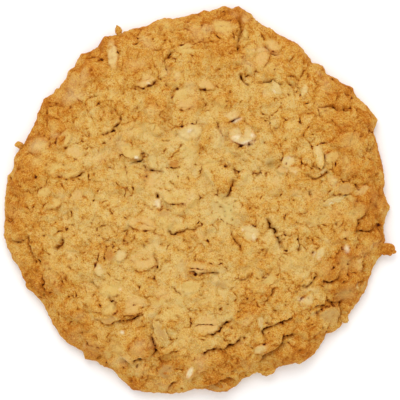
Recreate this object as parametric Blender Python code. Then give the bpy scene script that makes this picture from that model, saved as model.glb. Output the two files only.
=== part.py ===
"""Oatmeal cookie, 102 mm across: one baked piece, with its crags, cracks and oat flakes in relief.

Written for Blender 4.5. Sizes and places are in millimetres until a mesh is written, in metres.
Looking down on the cookie, +X is to the right and +Y is up the page. +Z is up from the flat base,
and the origin is on that base, at the middle of the outline's box.
"""

import math

import bmesh
import bpy
import numpy as np
from mathutils import Matrix, Vector, noise
from mathutils.bvhtree import BVHTree

MM = 0.001

# Driving sizes
THICKNESS = 12.6
SPHERE_SUBDIVISIONS = 7
BODY_TRIANGLES = 6400

# Half of the section, from the middle of the top round the edge to the middle of the base:
# shares of the outline's radius and of the thickness.
SECTION = [
    (0.0, 1.0), (0.3, 0.99), (0.55, 0.95), (0.74, 0.87), (0.87, 0.72), (0.945, 0.53),
    (0.985, 0.34), (1.0, 0.2), (0.992, 0.1), (0.968, 0.03), (0.935, 0.0), (0.5, 0.0), (0.0, 0.0),
]
SECTION_STEPS = 24
BASE_SHARE = 0.35

# The underside is flat within four corners that it rests on, and lifts a little beyond them.
REST_CORNERS = 4
REST_RADIUS = 45.0
REST_TURN = 12
REST_SLOPE = 0.02
UNDERSIDE_DEPTH = 0.5

# The outline seen from above, anticlockwise from the right: the corners of its lobes and notches.
OUTLINE = [
    (48.8, 1.0), (48.4, 5.0), (48.4, 8.0), (47.3, 11.5), (46.7, 15.0), (45.8, 18.0), (46.6, 21.0),
    (46.0, 23.0), (42.7, 25.5), (41.2, 27.0), (40.0, 29.5), (37.3, 30.4), (36.0, 31.7), (33.5, 32.7),
    (32.5, 34.9), (30.0, 35.4), (28.7, 37.0), (27.0, 38.7), (25.6, 41.0), (23.5, 42.0), (17.0, 45.7),
    (14.8, 46.7), (13.8, 48.0), (10.3, 50.6), (8.7, 50.0), (6.8, 50.6), (3.0, 49.3), (0.0, 49.0),
    (-6.5, 47.1), (-8.5, 47.4), (-10.8, 47.0), (-13.5, 45.2), (-19.0, 44.2), (-22.6, 43.0),
    (-24.8, 42.7), (-26.2, 40.0), (-28.0, 38.8), (-30.2, 38.4), (-32.0, 35.3), (-33.8, 34.3),
    (-34.7, 32.0), (-36.5, 29.0), (-37.4, 29.0), (-40.5, 26.3), (-42.3, 21.5), (-45.8, 15.0),
    (-47.2, 12.8), (-49.0, 10.0), (-48.6, 7.0), (-50.0, 6.0), (-50.8, 0.5), (-51.1, -9.8),
    (-49.4, -14.0), (-47.3, -17.6), (-45.5, -21.0), (-45.2, -23.0), (-43.0, -24.8), (-40.5, -27.5),
    (-37.2, -33.5), (-36.6, -35.6), (-33.5, -38.3), (-30.3, -39.6), (-30.4, -41.2), (-27.5, -42.0),
    (-22.3, -45.0), (-20.8, -47.2), (-17.4, -49.7), (-10.0, -50.5), (-1.5, -49.7), (5.0, -50.4),
    (7.7, -49.9), (10.4, -48.7), (10.7, -47.3), (15.0, -45.4), (17.7, -46.0), (20.0, -44.8),
    (20.8, -43.6), (25.3, -42.8), (26.2, -43.1), (30.5, -40.2), (32.0, -37.0), (33.5, -35.1),
    (38.0, -33.1), (39.6, -31.5), (39.2, -30.0), (42.0, -26.0), (44.3, -22.3), (44.6, -20.5),
    (45.8, -17.3), (47.2, -14.9), (48.8, -11.2), (48.2, -8.0), (48.7, -4.8), (49.8, -2.2),
]
OUTLINE_STEPS = 720
SMOOTH_HARMONICS = 6
EDGE_DETAIL_POWER = 8

# Rises and hollows of the top: x, y, radius, height.
MOUNDS = [
    (0.8, 14.3, 4.0, 0.7), (12.0, 19.3, 3.0, 0.5), (6.5, 3.8, 3.2, 0.8), (13.0, -3.0, 3.5, 0.7),
    (44.0, -2.0, 4.5, 1.0), (43.0, 9.0, 5.0, 0.6), (-25.0, 31.0, 6.0, 0.6), (2.0, 36.0, 5.5, 1.0),
    (-15.0, 38.0, 6.0, 0.5), (38.0, 19.0, 7.0, 0.8), (-38.0, 22.0, 7.0, 0.6), (-47.0, -7.5, 3.5, 0.7),
    (-47.0, -14.0, 3.5, 0.5), (-38.0, -22.0, 5.0, 0.6), (23.0, -4.0, 5.0, 0.5), (2.0, -12.0, 6.5, 0.6),
    (-6.0, -15.0, 5.0, 0.4), (26.0, -40.0, 4.5, 0.9), (10.5, -40.0, 3.2, 1.0), (-16.5, -38.0, 4.5, 0.9),
    (-16.0, -47.5, 3.0, 0.6), (2.0, -44.0, 5.0, 0.6), (18.5, -37.8, 2.8, 0.9), (14.0, -12.8, 3.6, 0.7),
    (-26.5, -3.5, 3.0, 0.6), (-23.5, -28.5, 2.3, 0.6), (-17.0, -28.0, 4.0, 0.6), (35.0, -17.5, 4.0, 0.6),
    (14.0, -30.0, 4.5, 0.5), (36.0, 29.0, 4.0, 0.6), (10.0, 26.0, 5.0, 0.3), (-42.0, 8.0, 5.0, 0.4),
    (6.5, -3.0, 3.5, -0.9), (6.0, -21.5, 3.2, -0.9), (-12.5, 8.0, 3.2, -0.9), (18.7, 8.8, 2.4, -1.1),
    (-23.5, 13.0, 3.0, -0.4), (25.0, 29.0, 4.0, -0.8), (-9.5, 19.5, 4.0, -0.4), (7.0, 10.5, 3.5, -0.5),
    (-27.0, -20.5, 4.0, -0.6), (-10.5, -42.5, 2.8, -1.4), (-6.5, -38.7, 3.2, -0.8), (17.5, -44.0, 3.0, -1.0),
    (37.0, -26.0, 2.6, -1.0), (43.0, -11.0, 3.0, -0.6), (-36.0, -4.0, 2.6, -0.7), (-36.2, -11.8, 2.4, -0.9),
    (12.6, 31.8, 1.8, -0.9), (20.5, -18.5, 3.5, -0.4), (11.5, 43.8, 2.0, -0.9), (18.0, -34.5, 3.0, -0.8),
]

# Rounded lumps of dough, from large to small: cell size, height.
COBBLES = [(9.5, 1.05), (4.6, 0.5)]
COBBLE_MEAN = 0.6
SWELL_SIZE = 17.0
SWELL_HEIGHT = 0.9
GRAIN_SIZE = 2.4
GRAIN_HEIGHT = 0.22
CREASE_SPREAD = 0.42
WARP_SIZE = 6.0
WARP_REACH = 0.3
WARP_SHIFTS = (0.0, 40.0, 80.0)

# Heights, as shares of the thickness, between which the relief and the cracks fade in up the side.
RELIEF_FADE = (0.12, 0.55)
CRACK_FADE = (0.2, 0.4)

# The deep cracks: half width, depth, then the points that each one runs through.
CRACKS = [
    (0.55, 1.5, [(-6.5, 38.8), (-7.3, 38.3), (-7.9, 37.3), (-9.0, 35.8)]),
    (0.50, 1.4, [(-11.0, 31.2), (-11.7, 30.3), (-12.8, 29.3)]),
    (0.55, 1.5, [(10.5, 46.7), (11.3, 45.0), (10.6, 43.0), (10.5, 41.5), (9.9, 38.2)]),
    (0.50, 1.2, [(17.6, 40.6), (18.5, 39.8), (19.1, 38.4), (20.6, 38.0)]),
    (0.50, 1.4, [(11.0, 32.8), (11.6, 31.4), (12.8, 30.0)]),
    (0.55, 1.4, [(15.2, 30.3), (17.6, 30.6), (19.7, 31.1), (21.5, 30.5)]),
    (0.50, 1.2, [(31.4, 23.9), (33.5, 24.2), (35.3, 24.2), (37.2, 23.4), (39.0, 23.8)]),
    (0.50, 1.3, [(43.8, 13.5), (45.1, 11.7), (45.4, 13.3)]),
    (0.55, 1.4, [(32.8, 11.2), (32.3, 9.6), (31.9, 8.5)]),
    (0.55, 1.4, [(28.3, 6.3), (29.8, 5.1), (32.0, 5.7), (33.5, 7.2)]),
    (0.50, 1.3, [(29.0, 1.9), (29.1, 0.1)]),
    (0.50, 1.2, [(8.4, 20.2), (10.0, 21.2)]),
    (0.60, 1.5, [(4.6, 19.5), (5.3, 18.0), (5.9, 16.2)]),
    (0.50, 1.2, [(9.4, 13.2), (11.0, 13.9), (13.4, 14.4)]),
    (0.55, 1.4, [(15.5, 8.2), (16.1, 7.1), (15.3, 6.3)]),
    (0.60, 1.6, [(9.2, 7.8), (10.1, 5.8)]),
    (0.65, 1.7, [(8.7, 4.6), (8.8, 3.3), (8.2, 1.8), (6.8, 0.3)]),
    (0.50, 1.3, [(-21.2, 22.3), (-20.4, 20.2), (-22.6, 17.8), (-25.4, 16.5)]),
    (0.55, 1.5, [(-14.6, 12.2), (-14.7, 10.3), (-17.0, 9.5)]),
    (0.70, 1.4, [(-14.6, 8.6), (-12.7, 7.6), (-9.8, 7.2)]),
    (0.60, 1.5, [(-33.0, 5.3), (-31.8, 6.1), (-30.5, 7.0)]),
    (0.50, 1.2, [(-49.2, -11.4), (-47.0, -10.9), (-45.2, -10.2), (-44.6, -13.0), (-43.9, -14.9)]),
    (0.75, 1.9, [(-35.5, -10.3), (-36.2, -12.2), (-37.8, -13.2)]),
    (0.50, 1.2, [(-41.2, -20.2), (-40.9, -22.3), (-40.3, -24.0), (-41.2, -25.0)]),
    (0.55, 1.4, [(-28.1, -21.5), (-27.2, -22.7), (-26.4, -22.9)]),
    (0.65, 1.5, [(-8.1, -8.3), (-6.6, -9.1), (-4.2, -8.4), (-0.7, -7.8), (0.5, -7.0)]),
    (0.50, 1.2, [(-11.6, -14.4), (-11.1, -16.6), (-11.3, -18.6)]),
    (0.60, 1.5, [(-2.2, -18.9), (0.0, -19.9), (1.5, -18.9), (4.8, -19.2)]),
    (0.50, 1.3, [(8.0, -8.2), (8.8, -10.0), (10.2, -11.2), (10.8, -13.3)]),
    (0.70, 1.8, [(17.7, -5.4), (18.2, -7.2), (19.6, -7.9), (20.3, -10.0), (21.8, -12.6)]),
    (0.50, 1.3, [(26.0, -9.5), (26.2, -13.8)]),
    (0.60, 1.5, [(10.9, -21.5), (12.1, -21.2), (13.0, -19.8)]),
    (0.60, 1.5, [(19.5, -23.5), (18.2, -25.4), (17.5, -26.5)]),
    (0.60, 1.5, [(41.4, -8.2), (43.5, -8.5), (45.3, -8.2), (47.4, -5.6)]),
    (0.60, 1.5, [(43.8, -4.0), (42.2, -5.7), (41.3, -8.2)]),
    (0.75, 1.9, [(31.6, -20.0), (30.3, -21.3), (29.6, -22.4), (27.8, -22.8)]),
    (0.60, 1.4, [(37.0, -20.1), (36.3, -21.2), (34.5, -22.2), (32.8, -21.6)]),
    (0.55, 1.3, [(44.4, -14.0), (43.5, -16.1), (43.8, -19.2)]),
    (0.60, 1.5, [(-23.2, -25.8), (-21.6, -27.3), (-21.8, -28.6)]),
    (0.60, 1.6, [(-20.9, -32.1), (-18.9, -31.6), (-16.2, -30.5), (-14.8, -30.3)]),
    (0.75, 1.8, [(-13.0, -35.8), (-11.7, -37.8), (-11.3, -39.6), (-12.5, -41.5)]),
    (0.70, 1.7, [(-16.8, -43.0), (-15.6, -41.8), (-14.0, -42.0)]),
    (1.10, 2.0, [(-20.2, -43.0), (-19.2, -43.0)]),
    (0.60, 1.4, [(-7.8, -49.0), (-6.1, -47.7)]),
    (0.65, 1.6, [(8.4, -31.6), (6.7, -33.0), (5.3, -34.9), (1.8, -35.7)]),
    (0.75, 1.8, [(0.6, -40.9), (2.8, -39.7), (6.8, -40.0), (8.2, -38.5), (11.2, -36.8)]),
    (0.75, 1.8, [(24.0, -31.1), (22.2, -32.2), (19.8, -32.8), (16.4, -34.2), (17.2, -36.8)]),
    (0.80, 2.1, [(24.6, -35.5), (22.3, -36.4), (21.1, -38.8), (18.6, -40.7), (16.4, -43.2)]),
    (0.80, 1.8, [(2.0, -49.0), (3.8, -48.7), (6.0, -47.9), (9.3, -48.0)]),
    (0.60, 1.5, [(30.1, -28.6), (32.4, -28.0), (34.0, -26.9), (37.0, -28.1)]),
    (0.70, 1.7, [(38.5, -27.5), (37.9, -29.6), (37.2, -32.4)]),
    (0.60, 1.5, [(41.7, -22.3), (43.1, -21.2)]),
]

# Oat flakes that show: x, y, length, width, turn of the long side, lean to one side (degrees).
FLAKES = [
    (-22.7, 38.3, 8.0, 2.8, 95, 12), (-14.3, 31.0, 6.0, 3.6, 10, -10), (-3.0, 39.2, 6.0, 2.8, 8, 8),
    (6.4, 45.2, 7.6, 3.6, -6, 5), (12.2, 46.9, 3.4, 2.4, 80, 8), (12.3, 43.6, 3.2, 1.9, 85, 10),
    (19.5, 40.6, 4.8, 3.2, -30, -8), (16.3, 36.6, 5.2, 3.8, 70, -8), (20.3, 28.9, 4.6, 2.2, -58, 12),
    (27.6, 28.4, 4.0, 2.3, 80, 10), (-4.9, 27.0, 5.2, 3.4, 60, 6), (-3.8, 24.7, 5.0, 3.0, 15, -8),
    (1.9, 29.8, 5.0, 2.8, -12, -8), (8.2, 21.6, 5.2, 2.6, 26, -10), (11.2, 16.8, 7.4, 5.2, -6, -8),
    (-2.2, 17.7, 6.2, 4.4, 10, 5), (-17.8, 12.6, 5.8, 4.4, -20, -8), (-6.5, 9.6, 3.6, 2.5, 8, -6),
    (-35.4, 15.7, 6.2, 2.9, 58, 8), (-32.7, 12.1, 5.2, 3.2, -20, -6), (-35.4, 7.4, 9.2, 4.0, -6, -6),
    (-40.5, 1.7, 4.6, 2.8, 35, 8), (-31.8, 0.9, 4.6, 3.4, 60, 6), (-38.0, -1.1, 4.6, 3.0, 20, -6),
    (-23.2, -14.6, 4.0, 2.7, 86, 5), (-20.5, -14.6, 3.6, 3.0, 30, 6), (-14.6, -15.6, 7.4, 6.2, 10, -5),
    (-25.8, -18.1, 4.0, 2.8, 75, 8), (-14.6, -6.2, 8.2, 4.0, -5, -6), (-9.2, -3.7, 4.6, 2.4, -4, 5),
    (-5.8, 0.4, 7.4, 3.4, -2, -6), (13.2, -8.6, 5.8, 4.2, -12, 6), (-0.4, -17.9, 5.8, 4.0, -8, -6),
    (-2.3, -22.8, 6.2, 3.4, 8, 6), (18.2, -21.0, 4.4, 3.0, 25, 6), (-23.4, -28.1, 4.8, 4.2, 30, -5),
    (-23.3, -31.3, 4.0, 2.8, 10, -8), (-17.0, -27.6, 8.0, 5.0, 18, -5), (-10.0, -34.8, 7.8, 3.2, -62, 10),
    (2.3, -32.9, 7.4, 5.4, 0, -5), (16.0, -32.0, 5.0, 2.6, 98, 10), (28.3, -26.8, 4.4, 3.2, 50, 6),
    (16.2, -38.9, 4.6, 2.6, 15, 6), (34.7, -31.0, 7.4, 5.8, 15, 6), (42.9, -22.7, 3.6, 2.8, 45, 14),
    (35.8, -0.2, 7.8, 2.8, 13, 12), (38.0, 2.8, 4.8, 3.4, 0, -6), (42.7, 2.3, 4.6, 2.6, 10, 6),
    (31.2, 11.6, 7.8, 3.2, 96, -12), (34.6, 11.0, 4.0, 3.0, 40, 6), (23.3, 10.4, 4.4, 3.2, 60, 8),
    (22.1, 8.0, 3.6, 2.6, 20, 6), (24.8, 7.5, 3.6, 2.6, -20, 6), (31.6, -14.2, 4.2, 3.0, 62, 10),
    (-8.9, -45.4, 5.4, 4.4, 40, 6), (-2.4, -45.2, 4.2, 2.4, 64, 12), (5.0, -49.0, 6.6, 2.8, 3, 0),
    (-28.4, -39.8, 5.0, 4.2, -20, 0),
]
FLAKE_THICKNESS = 0.9
FLAKE_PROUD = 0.4
FLAKE_SIDES = 10
FLAKE_TOP_SHARE = 0.84
SURFACE_PROBES = 6
PROBE_REACH_SHARE = 1 / 3

# Crumbs baked onto the edge: x, y, z, then length, width and height, and the turn of the length.
EDGE_CRUMBS = [
    (49.2, -13.1, 3.2, 4.6, 3.0, 1.6, -12), (-47.3, 14.3, 3.0, 2.6, 2.0, 1.8, 150),
    (-21.1, 44.2, 3.4, 3.2, 1.7, 1.7, 105), (38.6, -31.8, 3.0, 3.0, 2.2, 1.8, -35),
    (17.8, -44.9, 3.2, 4.4, 2.6, 2.4, 10), (26.1, -42.5, 3.4, 1.8, 1.5, 1.5, 80),
]

DOUGH_COLOUR = (0.62, 0.32, 0.085, 1)
DOUGH_ROUGHNESS = 0.75


def curve_through(points, steps):
    """Catmull-Rom curve through the points, with so many steps from one point to the next."""
    knots = np.array([points[0], *points, points[-1]], float)
    t = np.linspace(0, 1, steps, endpoint=False)[:, None]
    pieces = []
    for a, b, c, d in zip(knots, knots[1:], knots[2:], knots[3:]):
        pieces.append(
            0.5 * (2 * b + (c - a) * t + (2 * a - 5 * b + 4 * c - d) * t**2 + (3 * b - a - 3 * c + d) * t**3)
        )
    return np.vstack([*pieces, knots[-1:]])


def outline_radii():
    """The outline's radius at OUTLINE_STEPS even angles: as it is, and without its small lobes."""
    corners = np.array(OUTLINE)
    angles = np.arctan2(corners[:, 1], corners[:, 0])
    order = np.argsort(angles)
    even = np.linspace(-math.pi, math.pi, OUTLINE_STEPS, endpoint=False)
    detailed = np.interp(even, angles[order], np.hypot(*corners[order].T), period=2 * math.pi)
    waves = np.fft.rfft(detailed)
    waves[SMOOTH_HARMONICS + 1 :] = 0
    return even, detailed, np.fft.irfft(waves, OUTLINE_STEPS)


def section_at(share):
    """Radius and height shares where that share of the skin's area is passed, and the way out of the skin."""
    curve = np.maximum(curve_through(SECTION, SECTION_STEPS), 0)
    step = np.diff(curve, axis=0) * [math.hypot(*OUTLINE[0]), THICKNESS]
    strip = np.hypot(*step.T) * (curve[1:, 0] + curve[:-1, 0])
    underneath = curve[1:, 1] + curve[:-1, 1] == 0
    area = np.concatenate([[0], np.cumsum(np.where(underneath, BASE_SHARE, 1) * strip)])
    place = np.interp(share, area / area[-1], np.arange(len(curve)))
    index = np.arange(len(curve))
    slope = np.gradient(curve * [math.hypot(*OUTLINE[0]), THICKNESS], axis=0)
    outward = np.stack([-slope[:, 1], slope[:, 0]], 1) / np.linalg.norm(slope, axis=1)[:, None]
    return [np.interp(place, index, column) for column in (*curve.T, *outward.T)]


def smooth_step(low, high, value):
    t = np.clip((value - low) / (high - low), 0, 1)
    return t * t * (3 - 2 * t)


def fractal(points, size, octaves=3):
    return np.array([noise.fractal(p, 1.0, 2.0, octaves) for p in (points / size).tolist()])


def cobbles(points, size):
    """1 on top of each rounded lump, down to 0 in the creases between lumps."""
    gaps = []
    for p in (points / size).tolist():
        distances = noise.voronoi(p)[0]
        gaps.append(distances[1] - distances[0])
    return smooth_step(0, CREASE_SPREAD, np.array(gaps))


def relief(points):
    """How far the skin stands out from the plain section at each point."""
    bend = np.stack([fractal(points + shift, WARP_SIZE) for shift in WARP_SHIFTS], 1)
    warped = points + bend * WARP_SIZE * WARP_REACH
    height = SWELL_HEIGHT * fractal(points, SWELL_SIZE) + GRAIN_HEIGHT * fractal(points, GRAIN_SIZE)
    for size, rise in COBBLES:
        height += rise * (cobbles(warped, size) - COBBLE_MEAN)
    for x, y, radius, rise in MOUNDS:
        height += rise * np.exp(-((points[:, 0] - x) ** 2 + (points[:, 1] - y) ** 2) / radius**2)
    return height


def crack_depth(points):
    """Depth of the deepest crack at each point."""
    depth = np.zeros(len(points))
    for half_width, deepest, route in CRACKS:
        for start, end in zip(np.array(route), np.array(route[1:])):
            along = end - start
            t = np.clip((points[:, :2] - start) @ along / (along @ along), 0, 1)
            distance = np.linalg.norm(points[:, :2] - start - t[:, None] * along, axis=1)
            depth = np.maximum(depth, deepest * np.exp(-((distance / half_width) ** 2)))
    return depth


def baked_skin(directions):
    """Where each point of a unit sphere lies on the cookie."""
    radius_share, height_share, out, up = section_at((1 - directions[:, 2]) / 2)
    angle = np.arctan2(directions[:, 1], directions[:, 0])
    even, detailed, smooth = outline_radii()
    plain, lobed = [np.interp(angle, even, r, period=2 * math.pi) for r in (smooth, detailed)]
    radius = radius_share * (plain + (lobed - plain) * radius_share**EDGE_DETAIL_POWER)
    around = np.stack([np.cos(angle), np.sin(angle)], 1)
    points = np.column_stack([around * radius[:, None], height_share * THICKNESS])
    amount = relief(points) * smooth_step(*RELIEF_FADE, height_share)
    amount -= crack_depth(points) * smooth_step(*CRACK_FADE, height_share)
    normal = np.column_stack([around * out[:, None], up])
    return points + normal * amount[:, None]


def dough():
    """The body: a finely divided sphere laid on the cookie's skin, then thinned where it is plain."""
    bpy.ops.mesh.primitive_ico_sphere_add(subdivisions=SPHERE_SUBDIVISIONS, radius=1)
    body = bpy.context.object
    body.name = body.data.name = "cookie"
    directions = np.empty(len(body.data.vertices) * 3, np.float32)
    body.data.vertices.foreach_get("co", directions)
    directions = directions.reshape(-1, 3).astype(float)
    directions /= np.linalg.norm(directions, axis=1)[:, None]
    body.data.vertices.foreach_set("co", (baked_skin(directions) * MM).ravel())
    thin = body.modifiers.new("thin", "DECIMATE")
    thin.ratio = BODY_TRIANGLES / len(body.data.polygons)
    return body


def ground_under(tree, x, y, reach):
    """Mean height and slope of the dough within reach of a place, from rays straight down."""
    hits, normals = [], []
    for i in range(SURFACE_PROBES):
        turn = 2 * math.pi * i / SURFACE_PROBES
        start = Vector((x + reach * math.cos(turn), y + reach * math.sin(turn), 3 * THICKNESS)) * MM
        place, normal, _, _ = tree.ray_cast(start, Vector((0, 0, -1)))
        if place is not None:
            hits.append(place.z / MM)
            normals.append(normal)
    return sum(hits) / len(hits), sum(normals, Vector()).normalized()


def oat_flake(tree, number, x, y, length, width, turn, lean):
    """A rolled oat: a thin oval disc with a narrower top, bedded in the dough."""
    mesh = bpy.data.meshes.new(f"flake_{number}")
    disc = bmesh.new()
    bmesh.ops.create_cone(
        disc, cap_ends=True, segments=FLAKE_SIDES, radius1=0.5, radius2=0.5 * FLAKE_TOP_SHARE, depth=1
    )
    disc.to_mesh(mesh)
    disc.free()
    flake = bpy.data.objects.new(mesh.name, mesh)
    height, slope = ground_under(tree, x, y, width * PROBE_REACH_SHARE)
    bedded = FLAKE_PROUD - FLAKE_THICKNESS / 2
    flake.matrix_world = (
        Matrix.Translation(Vector((x, y, height + bedded)) * MM)
        @ Vector((0, 0, 1)).rotation_difference(slope).to_matrix().to_4x4()
        @ Matrix.Rotation(math.radians(turn), 4, "Z")
        @ Matrix.Rotation(math.radians(lean), 4, "X")
        @ Matrix.Diagonal((length * MM, width * MM, FLAKE_THICKNESS * MM, 1))
    )
    return flake


def edge_crumb(number, x, y, z, length, width, height, turn):
    """A crumb baked onto the edge: a small faceted egg."""
    mesh = bpy.data.meshes.new(f"crumb_{number}")
    ball = bmesh.new()
    bmesh.ops.create_icosphere(ball, subdivisions=1, radius=0.5)
    ball.to_mesh(mesh)
    ball.free()
    crumb = bpy.data.objects.new(mesh.name, mesh)
    crumb.matrix_world = (
        Matrix.Translation(Vector((x, y, z)) * MM)
        @ Matrix.Rotation(math.radians(turn), 4, "Z")
        @ Matrix.Diagonal((length * MM, width * MM, height * MM, 1))
    )
    return crumb


def fuse(body, pieces):
    """Joins the pieces to the body with one Boolean, applies it and removes them."""
    toppings = bpy.data.collections.new("toppings")
    bpy.context.scene.collection.children.link(toppings)
    for piece in pieces:
        toppings.objects.link(piece)
    join = body.modifiers.new("join", "BOOLEAN")
    join.operation = "UNION"
    join.operand_type = "COLLECTION"
    join.collection = toppings
    join.solver = "MANIFOLD"
    bpy.context.view_layer.update()
    fused = bpy.data.meshes.new_from_object(body.evaluated_get(bpy.context.evaluated_depsgraph_get()))
    body.modifiers.clear()
    body.data = fused
    for piece in pieces:
        bpy.data.objects.remove(piece)
    bpy.data.collections.remove(toppings)


def keep_outer_skin(mesh):
    """Drops every shell but the largest: a scrap that hangs loose, or a pocket sealed by a flake."""
    shape = bmesh.new()
    shape.from_mesh(mesh)
    unseen = set(shape.faces)
    shells = []
    while unseen:
        shell, edge_of_search = [], [unseen.pop()]
        while edge_of_search:
            face = edge_of_search.pop()
            shell.append(face)
            near = {f for e in face.edges for f in e.link_faces} & unseen
            unseen -= near
            edge_of_search.extend(near)
        shells.append(shell)
    shells.sort(key=len)
    for shell in shells[:-1]:
        bmesh.ops.delete(shape, geom=shell, context="FACES")
    shape.to_mesh(mesh)
    shape.free()


def level_base(mesh):
    """Flattens the underside within its rest corners, so that nothing else touches a table first."""
    underside = [v for v in mesh.vertices if v.co.z < UNDERSIDE_DEPTH * MM]
    corners = []
    for i in range(REST_CORNERS):
        turn = math.radians(REST_TURN + 360 * i / REST_CORNERS)
        wanted = Vector((math.cos(turn), math.sin(turn))) * REST_RADIUS * MM
        corners.append(min(underside, key=lambda v: (v.co.xy - wanted).length).co.xy)
    outward = []
    for start, end in zip(corners, corners[1:] + corners[:1]):
        along = (end - start).normalized()
        outward.append((start, Vector((along.y, -along.x))))
    for v in underside:
        past = max((v.co.xy - start).dot(away) for start, away in outward)
        v.co.z = REST_SLOPE * max(past, 0)


def centre(mesh):
    """Puts the origin at the middle of the outline's box, on the base."""
    corners = np.array([v.co for v in mesh.vertices])
    low, high = corners.min(0), corners.max(0)
    mesh.transform(Matrix.Translation((-(low[0] + high[0]) / 2, -(low[1] + high[1]) / 2, -low[2])))


def baked_dough():
    """Golden baked dough, dull all over."""
    material = bpy.data.materials.new("baked_dough")
    material.use_nodes = True
    shader = material.node_tree.nodes["Principled BSDF"]
    shader.inputs["Base Color"].default_value = DOUGH_COLOUR
    shader.inputs["Roughness"].default_value = DOUGH_ROUGHNESS
    shader.inputs["Metallic"].default_value = 0
    return material


def main():
    for old in list(bpy.data.objects):
        bpy.data.objects.remove(old)
    body = dough()
    tree = BVHTree.FromObject(body, bpy.context.evaluated_depsgraph_get())
    flakes = [oat_flake(tree, i, *flake) for i, flake in enumerate(FLAKES)]
    crumbs = [edge_crumb(i, *crumb) for i, crumb in enumerate(EDGE_CRUMBS)]
    fuse(body, flakes + crumbs)
    keep_outer_skin(body.data)
    level_base(body.data)
    centre(body.data)
    body.data.materials.clear()
    body.data.materials.append(baked_dough())
    collection = bpy.data.collections.new("oatmeal_cookie")
    bpy.context.scene.collection.children.link(collection)
    for home in list(body.users_collection):
        home.objects.unlink(body)
    collection.objects.link(body)


main()
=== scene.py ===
"""The looks of an oatmeal cookie seen from straight above: its crust, oat flakes and edge crumbs.

Sizes and places are in millimetres until a mesh is written, in metres. Looking down on the cookie,
+X is to the right and +Y is up the page.
"""

import math

import bmesh
import bpy
import numpy as np
from mathutils import Matrix, Vector, noise
from mathutils.bvhtree import BVHTree

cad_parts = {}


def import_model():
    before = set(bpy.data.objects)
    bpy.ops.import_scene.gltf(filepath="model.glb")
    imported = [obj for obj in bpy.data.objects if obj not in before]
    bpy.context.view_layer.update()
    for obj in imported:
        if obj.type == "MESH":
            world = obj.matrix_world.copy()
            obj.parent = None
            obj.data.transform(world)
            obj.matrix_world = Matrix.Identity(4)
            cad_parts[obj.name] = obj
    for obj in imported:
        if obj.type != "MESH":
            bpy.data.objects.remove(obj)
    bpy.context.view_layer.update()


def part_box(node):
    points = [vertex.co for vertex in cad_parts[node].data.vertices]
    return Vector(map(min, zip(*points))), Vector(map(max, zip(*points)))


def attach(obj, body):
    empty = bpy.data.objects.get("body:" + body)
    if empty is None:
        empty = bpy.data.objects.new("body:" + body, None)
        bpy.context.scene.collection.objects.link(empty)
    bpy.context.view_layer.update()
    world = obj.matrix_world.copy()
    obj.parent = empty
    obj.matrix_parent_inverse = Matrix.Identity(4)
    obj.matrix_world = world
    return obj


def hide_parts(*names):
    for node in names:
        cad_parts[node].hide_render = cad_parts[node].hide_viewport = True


MM = 0.001
SEED = 11

# The cookie's form, as the solid has it
THICKNESS = 12.6
SECTION = [
    (0, 1), (0.3, 0.99), (0.55, 0.95), (0.74, 0.87), (0.87, 0.72), (0.945, 0.53), (0.985, 0.34), (1, 0.2),
    (0.992, 0.1), (0.968, 0.03), (0.935, 0), (0.5, 0), (0, 0),
]
SECTION_STEPS = 24
BASE_SHARE = 0.04
OUTLINE = [
    (48.9, 0), (48.3, 2.2), (48.5, 6.5), (47.7, 10.2), (46.9, 13), (45.7, 17.7), (46.7, 20.8),
    (44.3, 24.2), (41.2, 26.9), (40.1, 29.4), (37.2, 30.3), (36.2, 31.5), (33.4, 32.9), (32.6, 34.9),
    (29.4, 35.8), (28.8, 37), (26.9, 39.6), (25.3, 41), (22, 42.5), (19, 44.5), (14.9, 46.7), (14, 48),
    (10.2, 50.7), (8.8, 49.9), (7, 50.6), (2.9, 49.2), (1.2, 49.4), (-1, 48.5), (-6.6, 47.1), (-8.3, 47.5),
    (-10.8, 47), (-13.5, 45.3), (-19.3, 44), (-22.4, 42.7), (-24.8, 42.8), (-26.4, 40), (-29, 38.5),
    (-30.8, 38), (-32.5, 34.7), (-34.2, 33.8), (-34.8, 31.7), (-36.2, 30.1), (-36.6, 28.9), (-37.4, 29.1),
    (-38.6, 27.5), (-40.5, 26.3), (-43, 19.8), (-46, 14.4), (-48.7, 10.5), (-48.5, 8.2), (-50, 6.1),
    (-50.9, 0), (-50.8, -5), (-51.1, -9.8), (-48.6, -15.8), (-46.8, -17.9), (-46.2, -20.2), (-45.4, -21.6),
    (-45.4, -22.9), (-43.4, -24.5), (-40.3, -28), (-36.8, -35), (-34.5, -37.5), (-30.3, -39.8),
    (-29.9, -41.8), (-27.6, -42.1), (-22.3, -44.8), (-20.9, -46.8), (-17.2, -49.8), (-13, -50.5),
    (-4, -50.4), (-1.5, -49.6), (1.5, -49.7), (5, -50.4), (7.4, -50.2), (10.3, -48.5), (10.9, -47.3),
    (15.2, -45.3), (17.8, -46.1), (19.8, -45), (20.8, -43.7), (25.4, -42.8), (26.3, -43.2), (30, -40.7),
    (31, -39.4), (33.4, -35.1), (35.2, -34.5), (37.1, -33.2), (39.1, -30.2), (42.4, -25.5), (44.3, -22.5),
    (44.3, -21), (45.8, -17.3), (46.8, -15.4), (48.2, -14.2), (48.6, -10.6), (48.2, -7.5), (48.7, -5),
    (49.9, -2.2),
]
OUTLINE_STEPS = 720
SMOOTH_HARMONICS = 6
EDGE_DETAIL_POWER = 8

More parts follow.
